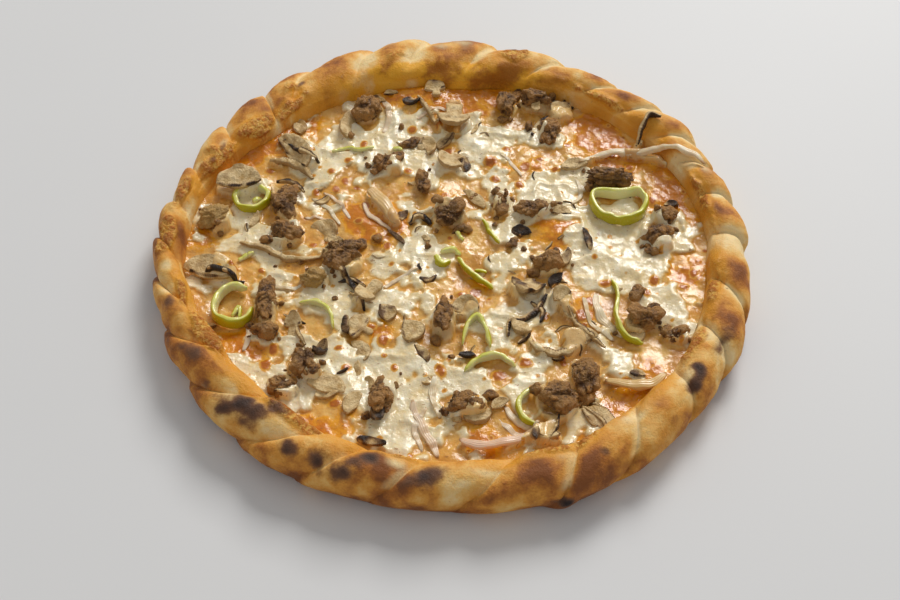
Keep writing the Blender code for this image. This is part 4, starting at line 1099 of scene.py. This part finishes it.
def sweep(route, half_wall, half_tall, around, closed, squareness=0.6):
    """Carry an upright rounded section along a route.

    The section is half_wall cos^q across and half_tall sin^q up, q being the squareness.
    Returns the points on a grid and the share across of each point.
    """
    if closed:
        ahead = np.roll(route, -1, axis=0) - np.roll(route, 1, axis=0)
    else:
        ahead = np.gradient(route, axis=0)
    ahead /= np.linalg.norm(ahead, axis=1)[:, None]
    left = np.cross((0.0, 0.0, 1.0), ahead)
    left /= np.linalg.norm(left, axis=1)[:, None]
    up = np.cross(ahead, left)
    turn = np.arange(around) * 2.0 * math.pi / around
    across, above = signed_power(np.cos(turn), squareness), signed_power(np.sin(turn), squareness)
    points = route[:, None] + left[:, None] * (half_wall[:, None] * across)[..., None]
    points = points + up[:, None] * (half_tall[:, None] * above)[..., None]
    return points, np.ones((len(route), 1)) * across


def strip_part(points, route, values, closed=False):
    """Points, faces and masks of a swept strip, closed by its last row or by fans at its ends."""
    rows, around = points.shape[:2]
    flat = points.reshape(-1, 3) + SHIFT
    if closed:
        row = np.arange(around)
        last = (rows - 1) * around
        join = np.stack([last + row, last + (row + 1) % around, (row + 1) % around, row], -1)
        faces = grid_faces(rows, around, True).tolist() + join.tolist()
        return flat, faces, {name: mask.ravel() for name, mask in values.items()}
    masks = {
        name: np.append(mask.ravel(), [mask[0].mean(), mask[-1].mean()]) for name, mask in values.items()
    }
    return np.concatenate([flat, route[[0, -1]] + SHIFT]), capped_faces(rows, around), masks


def route_in_node(name, knots, count, closed=False):
    """A smooth route at the middle height of a packed strip beside it, evened out along it."""
    flat = smooth_route(knots, closed, count)
    corners = node_points(name)
    away = np.linalg.norm(corners[None, :, :2] - flat[:, None], axis=-1)
    near = away < np.maximum(0.0045, away.min(axis=1) + 0.001)[:, None]
    highest = np.where(near, corners[:, 2], -1.0).max(axis=1)
    lowest = np.where(near, corners[:, 2], 1.0).min(axis=1)
    padded = np.pad((highest + lowest) / 2.0, 4, mode="edge")
    height = np.convolve(padded, np.ones(9) / 9.0, mode="valid")
    return np.concatenate([flat, height[:, None]], -1)


def mushroom_material():
    """Dried mushroom: cream flesh, dark ribbed gills, brown skin, nearly black where burnt."""
    material, where = start_material("sliced_mushroom")
    fine = where.speckle(1100.0, 3.0, 0.6)
    broad = where.speckle(260.0, 4.0, 0.6)
    toasted = where.speckle(150.0, 4.0, 0.6)
    rib = (where.mask("ray") * 7000.0).sine()
    gill = where.mask("gill") + broad.swing(0.7) + rib * 0.10
    skin = where.mask("skin") + broad.swing(0.7)
    burnt = where.mask("burnt") + broad.swing(1.1)
    colour = broad.step(0.30, 0.66).mix((0.52, 0.32, 0.11), (0.80, 0.60, 0.31)).paint(
        (fine, 0.56, 0.8, 0.35, (0.28, 0.16, 0.06)),
        (toasted, 0.50, 0.66, 0.55, (0.32, 0.17, 0.055)),
        (gill, 0.20, 0.65, 1.0, (0.26, 0.14, 0.055)),
        (gill, 0.50, 0.95, 1.0, (0.050, 0.027, 0.014)),
        (skin, 0.25, 0.95, 0.65, (0.36, 0.20, 0.075)),
        (burnt, 0.05, 0.45, 1.0, (0.17, 0.085, 0.030)),
        (burnt, 0.35, 0.85, 1.0, (0.034, 0.021, 0.014)),
    )
    relief = fine * 0.6 + broad * 1.4 + toasted * 1.2 + rib * where.mask("gill") * 0.3
    return finish_material(material, {
        "Base Color": colour, "Roughness": 0.45 - burnt.step(0.2, 0.8) * 0.10 + broad.swing(0.4),
        "Normal": relief.bump(0.8, 0.0011),
    }, {"Specular IOR Level": 0.3})


def curl_part(route, wall, tall, dark, seed, around=20):
    """A slice on its edge: a thin strip that tapers, with dark gills on one side."""
    share = np.linspace(0.0, 1.0, len(route))
    size = 0.25 + 0.75 * np.sin(math.pi * np.clip(share, 0.02, 0.98)) ** 0.5
    points, across = sweep(route, wall / 2.0 * MM * size, tall / 2.0 * MM * size, around, False)
    ragged = np.stack([soft_noise(points, 0.0032, 700 + seed + part) for part in (0, 91, 182)], -1)
    return strip_part(points + 0.18 * wall * MM * ragged, route, {
        "gill": smooth(across, -0.2, 0.7) * min(dark, 1.3), "skin": smooth(-across, 0.5, 0.95),
        "burnt": max(dark - 1.0, 0.0) * (0.7 + 1.6 * ragged[..., 0] + 0.3 * across),
        "ray": share[:, None] * np.ones(across.shape) * 0.02,
    })


def strew_mushrooms():
    """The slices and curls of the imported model, and one piece of all the loose scraps."""
    material = mushroom_material()
    for number, (*sizes, tilt, turn, dark) in enumerate(CAPS):
        name = f"mushroom_{number + 4:02d}"
        low, high = packed_box(name)
        points, masks = slice_surface(*sizes, dark, number)
        points = tilt_and_turn(points, tilt, turn) + (low + high) / 2.0 - (0.0, 0.0, 0.0006)
        faces = capped_faces(SLICE_ROWS, SLICE_AROUND)
        piece = add_piece(f"slice_{number + 1:02d}", material, points, faces, masks)
        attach(piece, "root")
        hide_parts(name)
    parts = []
    for number, (x, y, width, tall, stem, stem_length, tilt, turn, dark) in enumerate(LOOSE_CAPS):
        sizes = (width, tall * (1.0 if dark < 1.3 else BURNT_SHRINK), stem, stem_length)
        raggedness = 0.12 + 0.45 * max(dark - 1.2, 0.0)
        points, masks = slice_surface(*sizes, dark, 20 + number, LOOSE_ROWS, LOOSE_AROUND, raggedness)
        lean = tilt * (1.0 + 0.6 * math.sin(number * 1.7))
        points = tilt_and_turn(points, lean, turn) + on_cheese(np.array([[x, y]]) * MM, 0.0004)[0] + SHIFT
        parts.append((points, capped_faces(LOOSE_ROWS, LOOSE_AROUND), masks))
    draw = np.random.default_rng(31)
    away = np.sqrt(draw.uniform(0.0, 1.0, SCRAP_COUNT + SHRED_COUNT)) * SCATTER
    bearing = draw.uniform(0.0, 2.0 * math.pi, SCRAP_COUNT + SHRED_COUNT)
    spots = np.stack([away * np.cos(bearing), away * np.sin(bearing)], -1)
    for number, place in enumerate(on_cheese(spots[:SCRAP_COUNT] * MM, -0.0006) + SHIFT):
        width, tall, dark = draw.uniform(5.0, 12.0), draw.uniform(2.0, 5.0), draw.uniform(0.1, 1.6)
        points, masks = slice_surface(width, tall, 0, 0, dark, 200 + number, SCRAP_ROWS, SCRAP_ROWS, 0.45)
        points = tilt_and_turn(points, draw.uniform(-30.0, 30.0), draw.uniform(0.0, 360.0))
        parts.append((points + place, capped_faces(SCRAP_ROWS, SCRAP_ROWS), masks))
    for number, start in enumerate(spots[SCRAP_COUNT:]):
        heading, bend = draw.uniform(0.0, 2.0 * math.pi), draw.uniform(-0.9, 0.9)
        reach = draw.uniform(2.0, 4.5)
        middle = start + reach * np.array([math.cos(heading), math.sin(heading)])
        end = middle + reach * np.array([math.cos(heading + bend), math.sin(heading + bend)])
        route = on_cheese(smooth_route((start, middle, end), False, 14), draw.uniform(-0.0003, 0.0004))
        size = draw.uniform(0.8, 1.8)
        parts.append(curl_part(route, size, 0.9 * size, draw.uniform(0.6, 2.0), 60 + number, 10))
    for number, (wall, tall, dark, lift, knots) in enumerate(CURLS):
        route = on_cheese(smooth_route(knots, False, 36), (lift + 0.2) * MM)
        parts.append(curl_part(route, wall, tall, dark, number))
    scraps = add_piece("mushroom_scraps", material, *gather(parts))
    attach(scraps, "root")
    for number, (wall, tall, dark, knots) in enumerate(STANDING_SLICES):
        name = f"mushroom_{number + 1:02d}"
        part = curl_part(route_in_node(name, knots, 48), wall, tall, dark, 40 + number)
        piece = add_piece(f"curl_{number + 1:02d}", material, *part)
        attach(piece, "root")
        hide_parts(name)


strew_mushrooms()


# Green pepper: rings and arcs cut across a small mild pepper. The thin skin is glossy and
# yellow-green, the flesh inside is paler and softened by the heat.
PEPPERS = (                 # wall, tall, end size, closed, route
    (4.2, 5.5, 1.0, True, (
        (-117, 33), (-114, 40), (-107, 42), (-100, 38), (-100, 31), (-106, 26), (-113, 27))),
    (4.6, 7.0, 0.7, False, (
        (-104, -30), (-112, -29), (-118, -37), (-118, -47), (-110, -53), (-102, -50), (-100, -43))),
    (3.4, 4.5, 0.5, False, ((-77, -38), (-68, -38), (-61, -44), (-59, -54))),
    (4.2, 7.0, 1.0, True, (
        (75, 32), (78, 38), (90, 37), (101, 38), (104, 31), (100, 22), (90, 18), (79, 22))),
    (3.6, 5.0, 0.6, False, (
        (5, -64), (8, -52), (13, -47), (17, -55), (19, -65))),
    (4.2, 5.0, 0.5, False, ((6, -80), (13, -73), (23, -71), (31, -77))),
    (4.2, 5.0, 0.5, False, ((38, -90), (32, -98), (34, -107), (40, -111))),
    (3.6, 5.5, 0.5, False, ((82, -22), (84, -34), (82, -46), (85, -58), (94, -63))),
    (3.8, 4.5, 0.5, False, ((3, -7), (10, -17), (21, -27))),
)
PEPPER_BITS = (             # wall, tall, lift, route
    (3.0, 2.6, 0.6, ((-67, 71), (-59, 74), (-51, 71), (-44, 73))),
    (5.0, 4.0, 0.8, ((-9, -7), (-5, -12), (-1, -10))), (4.0, 3.6, 0.8, ((-6, -4), (0, -2), (5, -4))),
    (3.0, 2.8, 0.5, ((16, 20), (20, 12), (25, 3))), (4.0, 2.6, 0.5, ((-33, 73), (-28, 71))),
    (3.4, 2.6, 0.6, ((-111, -9), (-107, -6), (-103, -4))), (4.0, 3.0, 0.8, ((-107, 32), (-103, 35))),
    (3.0, 2.4, 0.4, ((2, 12), (6, 6))), (3.4, 3.0, 1.0, ((-110, -46), (-107, -40), (-106, -47))),
    (2.8, 2.4, 0.4, ((12, -13), (18, -15))),
)
PEPPER_AROUND = 28          # points around a strip
PEPPER_WALL = 0.68          # how much of its first width the soft wall kept


def taper_to(share, end_size, blunt):
    """Width along a strip: an end size at both ends, full in the middle, with rounded tips."""
    width = end_size + (1.0 - end_size) * np.sin(math.pi * share) ** 0.6
    return width * np.clip(12.0 * np.minimum(share, 1.0 - share) + blunt, 0.0, 1.0) ** 0.5


def pepper_part(route, wall, tall, end_size, closed, seed):
    """A strip of pepper wall, thinner at its ends, with its skin on the outside of the bend."""
    share = np.linspace(0.0, 1.0, len(route))
    taper = np.ones(len(route)) if closed else taper_to(share, end_size, 0.35)
    wave = 1.0 + 0.10 * np.sin(share * 2.0 * math.pi * 3.0 + seed)
    half_wall = PEPPER_WALL * wall / 2.0 * MM * taper * wave
    points, across = sweep(route, half_wall, tall / 2.0 * MM * taper, PEPPER_AROUND, closed, 0.62)
    heading = np.unwrap(np.arctan2(*np.gradient(route[:, :2], axis=0).T[::-1]))
    outside = across if heading[-1] <= heading[0] else -across
    points = points + 0.0004 * soft_noise(points, 0.004, 800 + seed)[..., None]
    masks = {"skin": smooth(outside, 0.15, 0.75), "pith": smooth(-outside, 0.45, 0.95)}
    return strip_part(points, route, masks, closed)


def pepper_material():
    """Yellow-green pepper: glossy skin, paler wet flesh, whitish pith on the inside."""
    material, where = start_material("green_pepper")
    broad = where.speckle(130.0, 3.0, 0.5)
    fine = where.speckle(900.0, 2.0, 0.5)
    skin = where.mask("skin") + broad.swing(0.3)
    pith = where.mask("pith") + broad.swing(0.5)
    colour = broad.step(0.3, 0.7).mix((0.64, 0.62, 0.10), (0.78, 0.72, 0.26)).paint(
        (skin, 0.2, 0.7, 1.0, (0.50, 0.45, 0.008)),
        (pith, 0.2, 0.9, 0.75, (0.78, 0.74, 0.42)),
        (broad, 0.64, 0.80, 0.4, (0.42, 0.26, 0.05)),
    )
    return finish_material(material, {
        "Base Color": colour, "Roughness": 0.24 + fine.swing(0.2), "Normal": fine.bump(0.25, 0.0004),
    }, {"Subsurface Weight": 0.25, "Subsurface Scale": 0.003, "Subsurface Radius": (0.7, 1.0, 0.2)})


def lay_peppers():
    """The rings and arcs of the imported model, and one piece of small bits."""
    material = pepper_material()
    for number, (wall, tall, end_size, closed, knots) in enumerate(PEPPERS):
        name = f"pepper_{number + 1:02d}"
        part = pepper_part(route_in_node(name, knots, 72, closed), wall, tall, end_size, closed, number)
        piece = add_piece(f"pepper_cut_{number + 1:02d}", material, *part)
        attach(piece, "root")
        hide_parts(name)
    parts = []
    for number, (wall, tall, lift, knots) in enumerate(PEPPER_BITS):
        route = on_cheese(smooth_route(knots, False, 24), (lift + 0.3) * MM)
        parts.append(pepper_part(route, wall, tall, 0.6, False, 20 + number))
    bits = add_piece("pepper_bits", material, *gather(parts))
    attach(bits, "root")


lay_peppers()


# Onion: thin strips of white onion, cut across the rings. They went soft and see-through,
# cream to faintly pink, and their dried ends turned brown.
ONIONS = (                  # wall, tall, end size, golden, rosy, route
    (4.0, 5.0, 0.5, 0.0, 0.0, ((70, 62), (84, 68), (98, 69), (110, 66), (121, 62), (130, 56), (136, 49))),
    (4.4, 4.5, 0.5, 0.1, 0.9, ((4, -119), (13, -123), (26, -121), (40, -116))),
    (7.0, 5.0, 0.5, 0.8, 0.1, ((-45, 40), (-38, 30), (-29, 15))),
    (5.4, 4.4, 0.4, 0.9, 0.0, ((74, -85), (85, -89), (96, -88), (103, -82))),
)
ONION_SLIVERS = (           # wall, tall, lift, route
    (3.6, 2.4, 0.5, ((-40, 113), (-36, 100), (-39, 86))), (2.4, 2.0, 0.4, ((-79, 22), (-69, 21), (-60, 11))),
    (4.4, 2.6, 0.4, ((73, -30), (74, -44), (85, -58))), (3.6, 2.4, 0.5, ((25, -100), (30, -108), (41, -112))),
    (4.4, 2.6, 0.5, ((-19, -97), (-13, -112), (-6, -128))),
    (3.4, 2.4, 0.5, ((-8, -82), (-9, -95), (-5, -106))),
    (3.0, 2.2, 0.4, ((-12, -100), (-17, -112), (-13, -124))),
    (2.6, 2.0, 0.4, ((-70, 40), (-61, 33), (-54, 21))),
    (2.4, 1.8, 0.4, ((-76, 36), (-66, 28), (-60, 16))), (2.4, 2.0, 0.4, ((-48, -39), (-34, -26), (-15, -12))),
    (3.0, 2.2, 0.4, ((-48, 32), (-44, 22), (-32, 12))), (3.4, 2.2, 0.4, ((66, -34), (70, -50), (80, -60))),
    (3.0, 2.0, 0.4, ((-104, -44), (-100, -58), (-102, -68))),
    (3.0, 2.0, 0.4, ((22, -106), (30, -114), (38, -116))),
    (2.4, 1.8, 0.3, ((64, 30), (70, 40), (68, 52))), (2.2, 1.6, 0.3, ((27, 70), (34, 61), (38, 52))),
    (2.6, 1.8, 0.3, ((-20, 96), (-10, 104), (-2, 102))),
    (2.6, 1.8, 0.3, ((-96, -24), (-84, -28), (-76, -24))),
)
ONION_FLATNESS = 0.62       # how much of its first height the soft strip kept
ONION_LIFT = 0.5            # and of its first lift
ONION_AROUND = 26           # points around a strip


def onion_part(route, wall, tall, end_size, golden, rosy, seed):
    """A soft strip with fine ribs along it, as the onion's fibres run."""
    share = np.linspace(0.0, 1.0, len(route))
    taper = taper_to(share, end_size, 0.3)
    half_tall = ONION_FLATNESS * (tall / 2.0 * MM * taper)
    points, across = sweep(route, wall / 2.0 * MM * taper, half_tall, ONION_AROUND, False, 0.7)
    points = points + 0.0006 * soft_noise(points, 0.006, 900 + seed)[..., None]
    even = np.ones(across.shape)
    return strip_part(points, route, {
        "end": smooth(np.abs(share - 0.5), 0.40, 0.5)[:, None] * even, "rib": across,
        "golden": golden * even, "rosy": rosy * even,
    })


def onion_material():
    """Cooked onion: cream, faintly pink and yellow by turns, fine fibres, brown dry ends."""
    material, where = start_material("soft_onion")
    broad = where.speckle(140.0, 3.0, 0.5)
    fibre = (where.mask("rib") * 14.0).sine()
    colour = broad.step(0.3, 0.7).mix((0.80, 0.62, 0.38), (0.88, 0.78, 0.58))
    colour = colour.paint((fibre, 0.2, 1.0, 0.25, (0.70, 0.50, 0.33)))
    colour = (where.mask("golden") * 0.85).mix(colour, (0.66, 0.40, 0.10))
    colour = (where.mask("rosy") * 0.6).mix(colour, (0.78, 0.44, 0.31))
    end = where.mask("end") + broad.swing(0.6)
    colour = colour.paint((end, 0.5, 1.0, 0.8, (0.42, 0.22, 0.08)))
    relief = fibre * 0.5 + broad * 0.5
    return finish_material(material, {
        "Base Color": colour, "Roughness": 0.28 + broad.swing(0.2), "Normal": relief.bump(0.3, 0.0004),
    }, {"Subsurface Weight": 0.3, "Subsurface Scale": 0.003, "Subsurface Radius": (1.0, 0.8, 0.5)})


def lay_onions():
    """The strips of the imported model, and one piece of thin slivers."""
    material = onion_material()
    for number, (wall, tall, end_size, golden, rosy, knots) in enumerate(ONIONS):
        name = f"onion_{number + 1:02d}"
        part = onion_part(route_in_node(name, knots, 72), wall, tall, end_size, golden, rosy, number)
        piece = add_piece(f"onion_cut_{number + 1:02d}", material, *part)
        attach(piece, "root")
        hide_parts(name)
    parts = []
    for number, (wall, tall, lift, knots) in enumerate(ONION_SLIVERS):
        route = on_cheese(smooth_route(knots, False, 40), ONION_LIFT * lift * MM)
        rosy = 0.6 * (0.5 + 0.5 * math.sin(2.1 * number))
        parts.append(onion_part(route, wall, tall, 0.4, 0.2, rosy, 20 + number))
    slivers = add_piece("onion_slivers", material, *gather(parts))
    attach(slivers, "root")


lay_onions()
